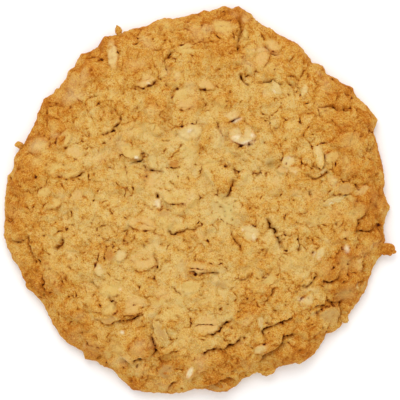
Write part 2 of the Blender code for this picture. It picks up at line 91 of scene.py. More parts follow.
# Rises and hollows of the top: x, y, radius, height.
MOUNDS = [
    (0.8, 14.3, 4, 0.7), (12, 19.3, 3, 0.5), (6.5, 3.8, 3.2, 0.8), (13, -3, 3.5, 0.7), (44, -2, 4.5, 1),
    (43, 9, 5, 0.6), (-25, 31, 6, 0.6), (2, 36, 5.5, 1), (-15, 38, 6, 0.5), (38, 19, 7, 0.8),
    (-38, 22, 7, 0.6), (-47, -7.5, 3.5, 0.7), (-47, -14, 3.5, 0.5), (-38, -22, 5, 0.6), (23, -4, 5, 0.5),
    (2, -12, 6.5, 0.6), (-6, -15, 5, 0.4), (26, -40, 4.5, 0.9), (10.5, -40, 3.2, 1),
    (-16.5, -38, 4.5, 0.9), (-16, -47.5, 3, 0.6), (2, -44, 5, 0.6), (18.5, -37.8, 2.8, 0.9),
    (14, -12.8, 3.6, 0.7), (-26.5, -3.5, 3, 0.6), (-23.5, -28.5, 2.3, 0.6), (-17, -28, 4, 0.6),
    (35, -17.5, 4, 0.6), (14, -30, 4.5, 0.5), (36, 29, 4, 0.6), (10, 26, 5, 0.3), (-42, 8, 5, 0.4),
    (6.5, -3, 3.5, -0.9), (6, -21.5, 3.2, -0.9), (-12.5, 8, 3.2, -0.9), (18.7, 8.8, 2.4, -1.1),
    (-23.5, 13, 3, -0.4), (25, 29, 4, -0.8), (-9.5, 19.5, 4, -0.4), (7, 10.5, 3.5, -0.5),
    (-27, -20.5, 4, -0.6), (-10.5, -42.5, 2.8, -1.4), (-6.5, -38.7, 3.2, -0.8), (17.5, -44, 3, -1),
    (37, -26, 2.6, -1), (43, -11, 3, -0.6), (-36, -4, 2.6, -0.7), (-36.2, -11.8, 2.4, -0.9),
    (12.6, 31.8, 1.8, -0.9), (20.5, -18.5, 3.5, -0.4), (11.5, 43.8, 2, -0.9), (18, -34.5, 3, -0.8),
]
COBBLES = [(9.5, 1.05), (4.6, 0.5)]
COBBLE_MEAN = 0.6
SWELL_SIZE = 17.0
SWELL_HEIGHT = 0.9
GRAIN_SIZE = 2.4
GRAIN_HEIGHT = 0.22
CREASE_SPREAD = 0.42
WARP_SIZE = 6.0
WARP_REACH = 0.3
WARP_SHIFTS = (0.0, 40.0, 80.0)
RELIEF_FADE = (0.12, 0.55)
CRACK_FADE = (0.12, 0.3)
GRAIN_FADE = (0.03, 0.16)

# The deep cracks: half width and depth, then the cracks as x, y, x, y and so on. Their dark is painted
# shade, and the one beside the long flake near x 32, y 10 is that flake's shadow.
CRACKS = [
    (0.5, 1.2, [
        (17.6, 40.6, 18.5, 39.8, 19.1, 38.4, 20.6, 38),
        (31.4, 23.9, 33.5, 24.2, 35.3, 24.2, 37.2, 23.4, 39, 23.8), (8.4, 20.2, 10, 21.2),
        (9.4, 13.2, 11, 13.9, 13.4, 14.4),
        (-49.2, -11.4, -47, -10.9, -45.2, -10.2, -44.6, -13, -43.9, -14.9),
        (-41.2, -20.2, -40.9, -22.3, -40.3, -24, -41.2, -25), (-11.6, -14.4, -11.1, -16.6, -11.3, -18.6),
    ]),
    (0.5, 1.3, [
        (43.8, 13.5, 45.1, 11.7, 45.4, 13.3), (29, 1.9, 29.1, 0.1),
        (-21.2, 22.3, -20.4, 20.2, -22.6, 17.8, -25.4, 16.5),
        (8, -8.2, 8.8, -10, 10.2, -11.2, 10.8, -13.3), (26, -9.5, 26.2, -13.8),
    ]),
    (0.5, 1.4, [(-11, 31.2, -11.7, 30.3, -12.8, 29.3), (11, 32.8, 11.6, 31.4, 12.8, 30)]),
    (0.55, 1.3, [(44.4, -14, 43.5, -16.1, 43.8, -19.2)]),
    (0.55, 1.4, [
        (15.2, 30.3, 17.6, 30.6, 19.7, 31.1, 21.5, 30.5), (32.8, 11.2, 32.3, 9.6, 31.9, 8.5),
        (28.3, 6.3, 29.8, 5.1, 32, 5.7, 33.5, 7.2), (15.5, 8.2, 16.1, 7.1, 15.3, 6.3),
        (-28.1, -21.5, -27.2, -22.7, -26.4, -22.9),
    ]),
    (0.55, 1.5, [
        (-6.5, 38.8, -7.3, 38.3, -7.9, 37.3, -9, 35.8),
        (10.5, 46.7, 11.3, 45, 10.6, 43, 10.5, 41.5, 9.9, 38.2), (-14.6, 12.2, -14.7, 10.3, -17, 9.5),
    ]),
    (0.6, 1.4, [(37, -20.1, 36.3, -21.2, 34.5, -22.2, 32.8, -21.6), (-7.8, -49, -6.1, -47.7)]),
    (0.6, 1.5, [
        (4.6, 19.5, 5.3, 18, 5.9, 16.2), (-33, 5.3, -31.8, 6.1, -30.5, 7),
        (-2.2, -18.9, 0, -19.9, 1.5, -18.9, 4.8, -19.2), (10.9, -21.5, 12.1, -21.2, 13, -19.8),
        (19.5, -23.5, 18.2, -25.4, 17.5, -26.5), (41.4, -8.2, 43.5, -8.5, 45.3, -8.2, 47.4, -5.6),
        (43.8, -4, 42.2, -5.7, 41.3, -8.2), (-23.2, -25.8, -21.6, -27.3, -21.8, -28.6),
        (30.1, -28.6, 32.4, -28, 34, -26.9, 37, -28.1), (41.7, -22.3, 43.1, -21.2),
    ]),
    (0.6, 1.6, [(9.2, 7.8, 10.1, 5.8), (-20.9, -32.1, -18.9, -31.6, -16.2, -30.5, -14.8, -30.3)]),
    (0.65, 1.5, [(-8.1, -8.3, -6.6, -9.1, -4.2, -8.4, -0.7, -7.8, 0.5, -7)]),
    (0.65, 1.6, [(8.4, -31.6, 6.7, -33, 5.3, -34.9, 1.8, -35.7)]),
    (0.65, 1.7, [(8.7, 4.6, 8.8, 3.3, 8.2, 1.8, 6.8, 0.3)]),
    (0.7, 1.4, [(-14.6, 8.6, -12.7, 7.6, -9.8, 7.2)]),
    (0.7, 1.7, [(-16.8, -43, -15.6, -41.8, -14, -42), (38.5, -27.5, 37.9, -29.6, 37.2, -32.4)]),
    (0.7, 1.8, [(17.7, -5.4, 18.2, -7.2, 19.6, -7.9, 20.3, -10, 21.8, -12.6)]),
    (0.75, 1.8, [
        (-13, -35.8, -11.7, -37.8, -11.3, -39.6, -12.5, -41.5),
        (0.6, -40.9, 2.8, -39.7, 6.8, -40, 8.2, -38.5, 11.2, -36.8),
        (24, -31.1, 22.2, -32.2, 19.8, -32.8, 16.4, -34.2, 17.2, -36.8),
    ]),
    (0.75, 1.9, [
        (-35.5, -10.3, -36.2, -12.2, -37.8, -13.2), (31.6, -20, 30.3, -21.3, 29.6, -22.4, 27.8, -22.8),
    ]),
    (0.8, 1.8, [(2, -49, 3.8, -48.7, 6, -47.9, 9.3, -48)]),
    (0.8, 2.1, [(24.6, -35.5, 22.3, -36.4, 21.1, -38.8, 18.6, -40.7, 16.4, -43.2)]),
    (1.1, 2, [(-20.2, -43, -19.2, -43)]),
]

# Finer cracks, by strength: half width, depth and strength, then the cracks as x, y, x, y and so on. Their
# dark is painted shade, and the one near x 8, y -41 is the shadow at a lump's lower left.
DARK_CRACKS = (0.34, 0.7, 1.05, [
    (-28.8, 27, -28, 26.8, -27.2, 27.1, -26.2, 27), (-21, 15.5, -20.2, 16.5),
    (0.3, 28.9, 1.5, 28.7, 2.3, 28.1), (5.9, 29.8, 6.2, 29, 7, 28.1), (23, 32, 23.8, 32.4, 25.8, 31.9),
    (25.3, 30.2, 26.3, 29.5, 26.8, 28.7), (28.4, 33.3, 28.6, 31.9), (38, 28.7, 38.8, 27.9),
    (-6.2, 16.8, -5.6, 17.1), (-9.3, 15, -8.1, 15.3), (20, 18.1, 20.7, 18.5), (-14.1, 5.9, -13.4, 5.3),
    (-12.1, -2.3, -11.3, -1.8), (-14.4, -0.8, -13.6, -1.8), (34.6, 9.8, 34.9, 8.8, 34.9, 7.5),
    (39.2, 12.5, 39.5, 11.7), (30.2, 16, 30, 15.4, 29.2, 15), (40, 4.3, 40.9, 3.8, 41.6, 2.8),
    (38.4, 1.1, 40, 1.2), (45.9, 6.1, 46.6, 7.1), (-31, -13.5, -30.3, -14.3), (-34.1, -17, -33.8, -18.4),
    (-28.5, -10.4, -28.2, -11.2), (-25.5, -11.6, -25.7, -12.7), (-22, -25.5, -21, -24.7),
    (-6.6, -23.1, -6, -23.9, -5.4, -24.5, -4.7, -25), (-29.9, -27.1, -29.5, -27.8),
    (-25.8, -31.6, -25.4, -32.3, -24.8, -33.1), (-29.6, -36.6, -29, -37.7),
    (-10.4, -41.8, -10.2, -42.8, -9.4, -43.7), (0.4, -36.6, 1.3, -36.7),
    (10.2, -29.8, 10.8, -29.3, 11.7, -28.4), (37.3, -18.9, 38, -18.2), (37.3, -12.5, 37.8, -13.9),
    (28.2, -31.2, 29.2, -30.9), (25.4, -24.7, 26.2, -23.9), (22.2, -36.5, 23.3, -35.9, 24.4, -35.6),
])
THIN_CRACKS = (0.27, 0.45, 0.99, [
    (-26.4, 37.1, -25.5, 36.3, -24.9, 36.2, -24, 36.7), (-24.6, 35.5, -23.6, 35.2),
    (-34.9, 22.8, -33.8, 24, -33.4, 25.2), (-22.6, 24.1, -22.2, 23.4, -21.4, 23, -21.1, 21.9),
    (-30.3, 11, -29, 12), (-26.9, 11.5, -26.4, 12.3, -26.3, 13), (-35.5, 9, -34.6, 8.7),
    (-29.3, 7.5, -28.9, 7, -29.1, 5.4, -28.6, 3.8), (-37.3, 3.2, -36.5, 2.6), (-35, 1.1, -36, 0),
    (-32.7, -0.7, -32.4, -1.6), (-27.2, 2.3, -26.4, 1.5), (-28.2, 7.8, -27.1, 8.7),
    (-9.1, 35.8, -8.5, 33.9, -8.4, 32.3), (-4.4, 39.9, -3.5, 40.4, -2, 40.6, 1, 41, 5, 41),
    (-11.2, 32.6, -11, 31.6), (-12.5, 36.6, -11.3, 34.9),
    (-20.2, 28.1, -18.8, 28.5, -17.1, 28.9, -15.6, 28.9), (-14.3, 27.8, -13.7, 28.6),
    (-17.4, 26, -16.8, 27.5), (-16.3, 37, -15.6, 37.9), (-3.3, 45.6, -2.3, 45.1), (12.7, 45.6, 13.3, 46.5),
    (13, 43.9, 13.4, 42.4, 12.8, 42.3), (17.5, 43.8, 18.6, 42.8, 19.4, 43.2), (22.7, 37.2, 23.1, 35.9),
    (12.1, 36.3, 12.3, 35.4, 12.9, 35.5), (21.3, 28, 22.7, 27), (27.5, 27.2, 27.8, 26.3),
    (33.3, 27.4, 34.3, 27.4), (30.4, 23.9, 31.4, 22.2, 32.1, 20.9), (-5.3, 23.2, -4.2, 23.7, -3.3, 23.9),
    (-8.4, 22, -7.8, 21.2), (-12.9, 19.9, -11.2, 19.5, -9.9, 19.2), (-13.2, 18.2, -12.9, 17.4),
    (-5, 14.8, -4.9, 14), (-4.1, 12.8, -3.8, 13.2), (-7.1, 4.4, -6.6, 3.7, -5.2, 3.1),
    (-7.7, 9.2, -6.8, 8.5, -5.5, 8.3), (-17.8, 15.7, -17.3, 13.5), (-21.6, 12, -21, 11.6, -20.7, 10.4),
    (-19.8, 10, -19, 7.5, -18.7, 6.2), (-17.2, 4.7, -17.2, 2.2, -17.7, 1.2, -18.7, 0),
    (-24.6, 10.2, -24.6, 9.2, -24, 8.4), (-21.3, 3, -20.8, 3.6), (7.7, 14.6, 8.2, 13.8),
    (15.2, 18.7, 15.3, 17.6, 14.8, 16.6), (16.4, 20.9, 16.9, 20.6, 18.4, 20.4, 19.5, 21),
    (14.8, 9.6, 15.6, 10.4, 16.5, 10.6), (20.8, 1.6, 20.7, 0.8), (12.8, 11.6, 13.9, 11),
    (24.8, 4.9, 25.5, 4.8), (26.2, 3.4, 26.6, 2.6), (35.9, 4.9, 37.5, 4.8, 38.8, 5, 39.4, 5.6),
    (40.1, 6, 40.8, 5.3), (42.5, 3.5, 43.3, 3.6, 44.1, 4.4), (-48, -1.2, -47.6, 0.2),
    (-50.1, -0.5, -50.1, -2), (-43.9, -14.9, -43.3, -15.6, -42.3, -16.5, -41.7, -17.3),
    (-43.4, -7.3, -43.4, -8.6), (-42.3, -7.3, -41.2, -7.9, -40.2, -7.9), (-36.3, -4.9, -36.3, -6),
    (-36.5, -7.2, -36.5, -8.2), (-34.8, -5.2, -34, -4.6), (-32.7, -12.7, -31.7, -12.9, -31.1, -12.6),
    (-26.7, -7.9, -24.9, -7.2, -24, -6.7), (-30.3, -8.9, -29.3, -9.1), (-32.8, -24, -32.4, -25.5),
    (-44.6, -21.3, -43.9, -22.4), (-19.5, -15.7, -18.7, -14.7), (-18.5, -15.2, -17.5, -16, -16.9, -16.8),
    (-9.6, -11.3, -9.3, -12.2), (0.9, -5.3, 1.3, -4.9), (-6.8, -1.3, -4.5, -1.6, -3, -1.8),
    (-12.2, -5, -11.3, -6.5, -10.5, -7), (-12, -6.9, -14.3, -6.3), (-16, -4, -14.5, -3.3),
    (-22.4, -20.8, -21, -21.2, -19, -20.8), (-22.2, -21.6, -21.2, -22.3), (-8.4, -23.3, -8.1, -22.3),
    (2.4, -16.7, 3.5, -17.2, 5, -17.4), (2.9, -2.3, 3.6, -2.9, 3.7, -3.9),
    (20.2, -9.9, 21.5, -9.5, 23, -9.5, 24.4, -9, 25.7, -8.2), (16.2, -14.8, 17.2, -14.3, 17.8, -13),
    (8, -22, 9, -21.3, 10.4, -20.7), (16.3, -21.3, 17.4, -20.4, 18.4, -19.6, 19.3, -18.8),
    (16.7, -3.1, 17.3, -2.8), (14.2, -1.5, 15.2, -2.5), (30.3, -13, 31, -12.7, 31.8, -12.6),
    (26.5, -3.6, 28.4, -3.1), (31.7, -3.2, 31.9, -4), (45, -7.3, 46.6, -7.6),
    (47.5, -5.4, 46.9, -7.3, 47.4, -10.5, 47.2, -12.7), (40.7, -24.3, 41.7, -24.2),
    (36.1, -16.1, 36.2, -16.7, 35.7, -16.9), (26.6, -27.8, 26.8, -28.9), (28, -25.6, 28.8, -25.8),
    (-27.8, -35.8, -27, -35.2, -26.5, -36.3), (-11.3, -35.2, -10.2, -37),
    (-9.4, -33.3, -8.5, -34.3, -8, -35), (-5.3, -47, -5.1, -47.6),
    (-16.3, -33.4, -15.2, -33.3, -13.5, -32.9), (-13.7, -46.1, -13.8, -48.3), (-14.2, -47.5, -12, -46.8),
    (0.4, -43.6, -0.4, -44.3, -0.8, -45), (-13.1, -26.4, -13.1, -27.8, -15.6, -28.4),
    (11, -27.4, 12.5, -26.8), (7.9, -40.9, 8.3, -41.8, 8.9, -42.2), (16.2, -45.2, 18.5, -45.3),
    (-0.1, -15.8, 1.6, -16.3), (-3, -17.8, 2.4, -18.4), (-1, -32.9, 5.3, -32.9),
])
SOFT_CRACKS = (0.4, 0.3, 0.9, [
    (-31.8, 33.4, -30.6, 34.8), (-39.6, 7.4, -38.2, 6.2, -36, 5.8, -34.4, 5.9),
    (-10.2, 31, -6.4, 31, -5, 31.8), (-8.5, 19, -5.5, 18.8, -3, 19.7),
    (-31.3, -22, -29.8, -21.7, -28.9, -22.2), (-36.2, -20.1, -36.1, -21.5, -35.7, -22.9),
    (-36.8, -16.5, -36.1, -15.6), (-9.9, -41.4, -8, -40.7, -4, -39.2), (11, 14, 15, 15.5),
    (-20, 3.6, -18, 1.4), (24.5, -24, 29.5, -19.5), (13, -27.5, 17, -24.5),
])

# Round pits: the width, then the places as x, y. Their dark is painted shade.
PITS = [
    (0.4, [
        (-33.4, 23), (14.8, 0.5), (-27.6, -9.6), (-13.7, -9.5), (-17.3, -21.4), (14.9, -12.3),
        (10.8, -16.2), (22.2, -20.6), (23.6, -20), (39.6, -12.8), (32.1, -2.3), (-8, -44.4),
    ]),
    (0.45, [(6.7, -3.1)]),
    (0.5, [
        (-33.2, 20.2), (-39.3, 16.1), (-43.4, 3.3), (-42.1, 6.2), (7.3, 25.4), (25.7, 38.9), (44.4, 21.4),
        (3, 16), (19.6, 6.3), (41.2, 5.8), (-20.8, -7.3), (-10.5, -22.6), (-40.7, -18.9), (-39.2, -18.6),
        (31.2, -1.6), (31.1, -5.2), (33.4, -24.2), (28.1, -15.4), (-33.8, -34), (26.7, -30.7),
        (30.5, -31.4), (7, -4.5), (7.8, -1.4), (5.2, -4.2), (5, -0.8), (9.4, -2.2),
    ]),
    (0.6, [
        (19.8, 33.9), (44, 22.7), (-7.1, 4.4), (-48.6, -2.3), (-8.7, -15.7), (10.3, -19.7), (38.9, -17),
        (41.5, -12.9), (-7.6, -42.2), (8.5, -45), (28.6, -36.6), (5.8, -2), (8.3, -3.2), (6.4, -5.6),
        (8.8, -5.4), (7.4, -6.6),
    ]),
    (0.7, [
        (-34.8, 13.3), (-4.8, 8.5), (41.5, 2.9), (-26.7, -7.9), (-19.7, -11.6), (36.1, -6.5),
        (44.4, -14.2), (-14.8, -30.3), (11.2, -21.4), (7.2, 0.8), (5.8, 16.4), (26.1, -13.5),
    ]),
    (0.8, [
        (-19.6, -11), (10.3, -11.3), (36.2, -6), (45.3, -8.4), (-26.3, -41.7), (-20, -44.3), (-6, -36.8),
        (24, -31.1), (32.3, -33.3),
    ]),
    (0.9, [(-25.3, 16.6), (30, -14), (24.5, -35.6), (18.4, -7.5), (-13.8, 6)]),
    (1, [(38.3, -21.5), (30.9, -20.7)]),
    (1.1, [(12.4, 32.3), (-35.8, -10.6)]),
    (1.4, [(-11, 0.9)]),
]

# Oat flakes that lie in the skin: x, y, length, width, turn and sideways lean in degrees, tone.
BEDDED_FLAKES = [
    (-14.3, 31, 6, 3.6, 10, -6, "pink"), (-3, 39.2, 6, 2.8, 8, 5, "gold"),
    (6.4, 45.2, 7.6, 3.6, -6, 4, "gold"), (12.2, 46.9, 3.4, 2.4, 80, 6, "pink"),
    (12.3, 43.6, 3.2, 1.9, 85, 8, "gold"), (19.5, 40.6, 4.8, 3.2, -30, -6, "pink"),
    (16.3, 36.6, 5.2, 3.8, 70, -6, "pink"), (27.6, 28.4, 4, 2.3, 80, 8, "cream"),
    (-4.9, 27, 5.2, 3.4, 60, 5, "gold"), (-3.8, 24.7, 5, 3, 15, -6, "pink"),
    (1.9, 29.8, 5, 2.8, -12, -6, "pink"), (8.2, 21.6, 5.2, 2.6, 26, -8, "cream"),
    (11.2, 16.8, 7.4, 5.2, -6, -6, "cream"), (-2.2, 17.7, 6.2, 4.4, 10, 4, "cream"),
    (-17.8, 12.6, 5.8, 4.4, -20, -6, "gold"), (-6.5, 9.6, 3.6, 2.5, 8, -8, "brown"),
    (-35.4, 15.7, 6.2, 2.9, 58, 6, "gold"), (-32.7, 12.1, 5.2, 3.2, -20, -5, "pink"),
    (-35.4, 7.4, 9.2, 4, -6, -7, "gold"), (-40.5, 1.7, 4.6, 2.8, 35, 6, "gold"),
    (-31.8, 0.9, 4.6, 3.4, 60, 5, "pink"), (-38, -1.1, 4.6, 3, 20, -5, "gold"),
    (-23.2, -14.6, 4, 2.7, 86, 6, "brown"), (-20.5, -14.6, 3.6, 3, 30, 5, "cream"),
    (-14.6, -15.6, 7.4, 6.2, 10, -4, "pink"), (-25.8, -18.1, 4, 2.8, 75, 6, "cream"),
    (-14.6, -6.2, 8.2, 4, -5, -5, "pink"), (-9.2, -3.7, 4.6, 2.4, -4, 5, "tan"),
    (-5.8, 0.4, 7.4, 3.4, -2, -6, "gold"), (13.2, -8.6, 5.8, 4.2, -12, 5, "cream"),
    (-0.4, -17.9, 5.8, 4, -8, -6, "pink"), (-2.3, -22.8, 6.2, 3.4, 8, 5, "gold"),
    (18.2, -21, 4.4, 3, 25, 5, "gold"), (-23.4, -28.1, 4.8, 4.2, 30, -5, "gold"),
    (-23.3, -31.2, 4, 2.8, 10, -6, "tan"), (-17, -27.6, 8, 5, 18, -4, "pink"),
    (2.3, -32.9, 7.4, 5.4, 0, -4, "pink"), (28.3, -26.8, 4.4, 3.2, 50, 5, "cream"),
    (16.2, -38.9, 4.6, 2.6, 15, 6, "cream"), (34.7, -31, 7.4, 5.8, 15, 5, "grey"),
    (38, 2.8, 4.8, 3.4, 0, -6, "grey"), (42.7, 2.3, 4.6, 2.6, 10, 5, "pink"),
    (34.6, 11, 4, 3, 40, 5, "gold"), (23.3, 10.4, 4.4, 3.2, 60, 6, "cream"),
    (22.1, 8, 3.6, 2.6, 20, 6, "pink"), (24.8, 7.5, 3.6, 2.6, -20, 6, "pink"),
    (-8.9, -45.4, 5.4, 4.4, 40, 5, "grey"), (-28.4, -39.8, 5, 4.2, -20, 4, "brown"),
    (-22.7, 38, 8.6, 3, 95, -8, "cream"),
]
BEDDED_PROUD = 0.2
BEDDED_CURL = 0.12
BEDDED_CREASE = 0.07
BEDDED_CREASE_WIDTH = 0.2

# Where a flake's effects start and are full, 1 being its edge and 0 its middle
PATCH_RISE_FADE = (1.15, 0.7)
PATCH_COVER_FADE = (1.1, 0.6)
PATCH_TINT_FADE = (1.4, 0.0)
FLAKE_FACE_FADE = (1.04, 0.94)
FLAKE_COVER_FADE = (1.0, 0.8)
FLAKE_TINT_FADE = (1.08, 0.5)
STANDING_TINT_FADE = (1.0, 0.4)

# How far a flake's face is above the dough where its tint starts and is full
FLAKE_SUNK_FADE = (-0.3, 0.1)

# Oat flakes that stand partly out of the dough, in the same order of values
STANDING_FLAKES = [
    (20.3, 28.9, 4.6, 1.9, -58, 14, "cream"), (16, -32, 5, 2, 98, 14, "cream"),
    (35.8, -0.2, 7.8, 2, 13, 16, "cream"), (31.2, 11.6, 7.8, 2.4, 96, -14, "cream"),
    (31.6, -14.2, 4.2, 2.4, 62, 12, "cream"), (-10, -34.8, 7.8, 2.8, -62, 10, "tan"),
    (-2.4, -45.2, 4.2, 1.8, 64, 14, "white_and_highlight"), (42.9, -22.7, 3.6, 2.2, 45, 14, "tan"),
    (5, -49, 6.6, 2.6, 3, 0, "tan"),
]
STANDING_STRENGTH = 0.75
FLAKE_THICKNESS = 0.8
FLAKE_PROUD = 0.22
FLAKE_SUBDIVISIONS = 5
FLAKE_CURL = 0.1
FLAKE_CREASE = 0.1
FLAKE_CREASE_WIDTH = 0.15
FLAKE_RIPPLE = 0.16
FLAKE_RIPPLE_SIZE = 0.4
FLAKE_WAVER = 0.2
FLAKE_WAVER_SIZE = 0.6
FLAKE_NOISE_STEP = 7.3
SURFACE_PROBES = 6
WIDTHS_PER_PROBE_REACH = 3

# Places where a flake or its pale edge shows through the crust, with painted highlights on flakes and the
# painted shade of hollows among them: x, y, length, width, turn, tone, strength.
PALE_PATCHES = [
    (-13.5, 30.2, 1.8, 1.4, 0, "white_and_highlight", 0.8), (18.5, 29.8, 5.5, 2, 0, "gold", 0.7),
    (20.2, 28.6, 2, 1.5, 0, "white_and_highlight", 0.8), (31.7, 33.2, 1.8, 1.6, 0, "cream", 0.6),
    (32.7, 29, 2.5, 2, 0, "pink", 0.6), (20.3, 38, 3, 2, 0, "pink", 0.6),
    (12.2, 15, 5, 2.6, 4, "white_and_highlight", 0.7), (-16.2, 11, 1.6, 1.3, 0, "white_and_highlight", 1),
    (-3, 17.5, 8, 3.6, 35, "cream", 0.9), (-8.5, 14.3, 3, 2, 0, "pink", 0.6),
    (-11.5, 18, 3, 3, 0, "gold", 0.6), (-12.8, 4.8, 6, 4, -50, "pink", 0.7),
    (-10.9, -0.9, 1.8, 2.4, 0, "white_and_highlight", 0.8), (-6, -7, 4, 2, 0, "gold", 0.8),
    (-22.5, -23.5, 7, 4.5, 0, "gold", 0.9), (-20.5, -23.6, 1.6, 1.4, 0, "white_and_highlight", 0.7),
    (-26.2, -18, 1.8, 1.6, 0, "white_and_highlight", 0.8), (-1, -23, 3, 2, 0, "gold", 0.6),
    (14.2, -9.6, 1.8, 2.2, 0, "white_and_highlight", 1), (11.6, -7.8, 1.5, 1.2, 0, "white_and_highlight", 0.9),
    (23.6, 10.5, 1.8, 1.6, 0, "white_and_highlight", 0.7), (22, 7.6, 1.8, 1.4, 0, "white_and_highlight", 0.6),
    (24.6, 7.2, 1.9, 1.3, 0, "white_and_highlight", 0.6), (32.3, 7.3, 1.8, 1.2, 30, "cream", 0.9),
    (33.7, 11, 2.4, 2, 0, "cream", 0.7), (31.9, 10.8, 1.6, 6.5, 6, "cream", 0.8),
    (25.2, 1.8, 3, 2, 0, "pink", 0.7), (40.2, -4.8, 2.5, 1.5, 0, "pink", 0.6),
    (38.5, -9, 2.4, 2.2, 0, "pink", 0.6), (38.6, -12.9, 1.8, 2, 0, "white_and_highlight", 0.8),
    (31, -14.6, 2.4, 2.2, 0, "white_and_highlight", 0.8), (33.5, -11, 1.5, 1.4, 0, "cream", 0.6),
    (36.2, -11.2, 3, 1.2, -12, "brown", 0.8), (45.3, -12.3, 2.5, 1.5, 50, "cream", 0.6),
    (41.8, -16.3, 1.5, 1.3, 0, "cream", 0.6), (41.4, -22.6, 0.9, 2.2, -15, "cream", 0.9),
    (-16, -31.8, 2.5, 1.8, -60, "grey", 0.7), (-20, -34.8, 1.4, 1.2, 0, "white_and_highlight", 1),
    (-2.2, -45.2, 3.2, 1.3, 75, "white_and_highlight", 0.9), (-13, -48.5, 2.5, 2, 0, "gold", 0.6),
    (-24, -40.5, 4, 2, 90, "gold", 0.7), (-30, -38.3, 2, 1.5, 0, "cream", 0.8),
    (16.3, -38.7, 3.5, 1.3, 35, "cream", 0.8), (6, -22.3, 4, 2.4, 0, "grey", 0.8),
    (27, -26.4, 2.4, 1.4, 0, "white_and_highlight", 0.7), (28.8, -23.7, 3.5, 1.2, 10, "cream", 0.6),
    (-11, -27, 3.4, 2.4, 0, "gold", 0.9), (7.5, -3.4, 4.8, 8.6, 8, "moss", 0.9),
    # The entry at 18.6, 8.9 paints the shade in a hollow.
    (6, 0.6, 3, 2.6, 0, "moss", 0.6), (18.6, 8.9, 2.6, 2.4, 0, "shade", 0.85),
    (-12.6, 7.6, 4.2, 1.8, -15, "grey", 0.8), (-32, -34.5, 2.6, 1.8, 20, "gold", 0.4),
    (34.4, -0.7, 3.4, 0.7, 13, "white_and_highlight", 0.8), (4.6, 24, 6, 3.2, 30, "gold", 0.5),
    (2, 9, 6, 3.5, 10, "gold", 0.6), (-28.4, -26.2, 3, 2.2, 0, "gold", 0.5),
    (-38.5, -15.6, 3, 2.4, 0, "gold", 0.5), (-6.6, -28.8, 6.5, 4.5, 20, "gold", 0.5),
    (22.3, -17.5, 5, 2.8, 20, "gold", 0.5), (3, -26.5, 6, 3, -5, "gold", 0.4),
    (-2.6, 17.8, 3.6, 1.9, 35, "white_and_highlight", 1), (9.6, 16, 3, 2.4, 0, "white_and_highlight", 0.9),
    (13.7, 16.6, 1.9, 1.9, 0, "white_and_highlight", 0.95), (9.8, 20.6, 3, 1.2, 26, "white_and_highlight", 0.8),
    # Both entries on the next line paint the shade in hollows.
    (6.2, 0.4, 2.2, 1.5, 20, "shade", 0.6), (-8.2, -41, 5, 2.6, 10, "shade", 0.6),
]

# Browner and paler zones of the crust: x, y, radius, change.
BROWNING = [
    (-38, 22, 9, 0.19), (-28, 33, 7, 0.16), (-25, 41, 3.5, 0.32), (-13, 40, 7, 0.16), (3, 47, 7, 0.16),
    (10.5, 49, 2.6, 0.3), (8, 38, 5, 0.2), (22, 41, 6.5, 0.2), (35, 29, 5.5, 0.26), (38, 18, 8.5, 0.14),
    (46, 8, 5, 0.16), (45, -1, 5, 0.28), (44, -5, 3, 0.15), (47, -10, 4, 0.12), (49.8, -13.2, 2.2, 0.4),
    (40, -16, 5.5, 0.2), (38, -22, 5.5, 0.22), (38, -26, 3, 0.35), (28, -39, 5.5, 0.1),
    (22, -41, 5.5, 0.1), (5, -45, 6, 0.2), (-17, -48.5, 3, 0.32), (-28, -40.5, 3, 0.35),
    (-34, -36, 4.5, 0.25), (-38, -25, 6.5, 0.13), (-42, -20, 5, 0.14), (-48, -5, 6, 0.2),
    (-45, 3, 6, 0.15), (-42, 15, 6, 0.2), (0.8, 14.3, 3.6, 0.2), (-6.4, 9.5, 1.8, 0.32),
    (0.3, 24.3, 2.2, 0.24), (12, 19.3, 3, 0.18), (12.8, -2.8, 3.6, 0.06), (42, 12, 3, -0.22),
    (7, 3.4, 3.6, 0.2), (-4, -0.5, 3, 0.15), (-13.6, 6.2, 1.3, 0.45), (2, -12, 6, 0.1),
    (17, -14.5, 3, 0.15), (14, -30, 4, 0.12), (-16, -37.5, 4, 0.15), (-24.5, 1, 4, 0.1),
    (33, -16, 5, 0.14), (-20.5, 25.5, 4, 0.1), (-3, 18, 6, -0.2), (5, 10, 5, -0.18), (-12, 5, 9, -0.14),
    (-22, -5, 11, -0.14), (-25, -22, 5, -0.22), (7, -3, 4, -0.25), (25, -17, 5, -0.12),
    (-8, -38, 3.5, -0.15), (-5, -28, 9, -0.14), (15, 25, 8, -0.12), (33, 2, 4, -0.12),
    (-33, 12, 5.5, -0.14), (-15, 15, 6, -0.12), (6, -21.5, 4, -0.12), (26, 26, 5, -0.06),
    (-1, 34.5, 4.5, -0.12), (-1, 0, 15, -0.12), (17, -6, 6, -0.16), (-4, -5, 5, -0.06), (8, -29, 5, -0.13),
    (16, 8, 5, -0.14), (6, 16, 4, -0.05), (-9, -41.5, 4.5, 0.34), (-23, 35, 6, -0.05),
    (-23, -35, 6, -0.06), (22, 33, 6, -0.05),
]
BROWNING_MEAN = 0.38
RIM_BROWNING = 0.1
SIDE_BROWNING = 0.12
CREST_BROWNING = 0.09
CREST_RANGE = (-1.0, 1.5)
SIDE_FADE = (0.5, 0.05)
UNDERSIDE_FADE = (0.03, 0.0)
BROWNING_SHIFT = 40.0
PATCHY_BROWNING = [(7.0, 0.16), (2.6, 0.12)]

# Crumbs baked onto the edge: x, y, z, then length, width and height, and the turn of the length.
EDGE_CRUMBS = [
    (49.2, -13.1, 3.2, 4.6, 3, 1.6, -12), (-47, 14.2, 3, 2.4, 1.8, 1.8, 150),
    (-21.1, 44, 3.4, 3, 1.7, 1.7, 105), (37.9, -31.3, 3.2, 2.6, 1.9, 1.6, -35),
    (17.8, -44.7, 3.2, 4.4, 2.6, 2.4, 10), (26, -42.2, 3.4, 1.8, 1.5, 1.5, 80),
]
CRUMB_SUBDIVISIONS = 5
CRUMB_ROUGHNESS = [(0.9, 0.3), (0.35, 0.12)]
CRUMB_NOISE_STEP = 9.7

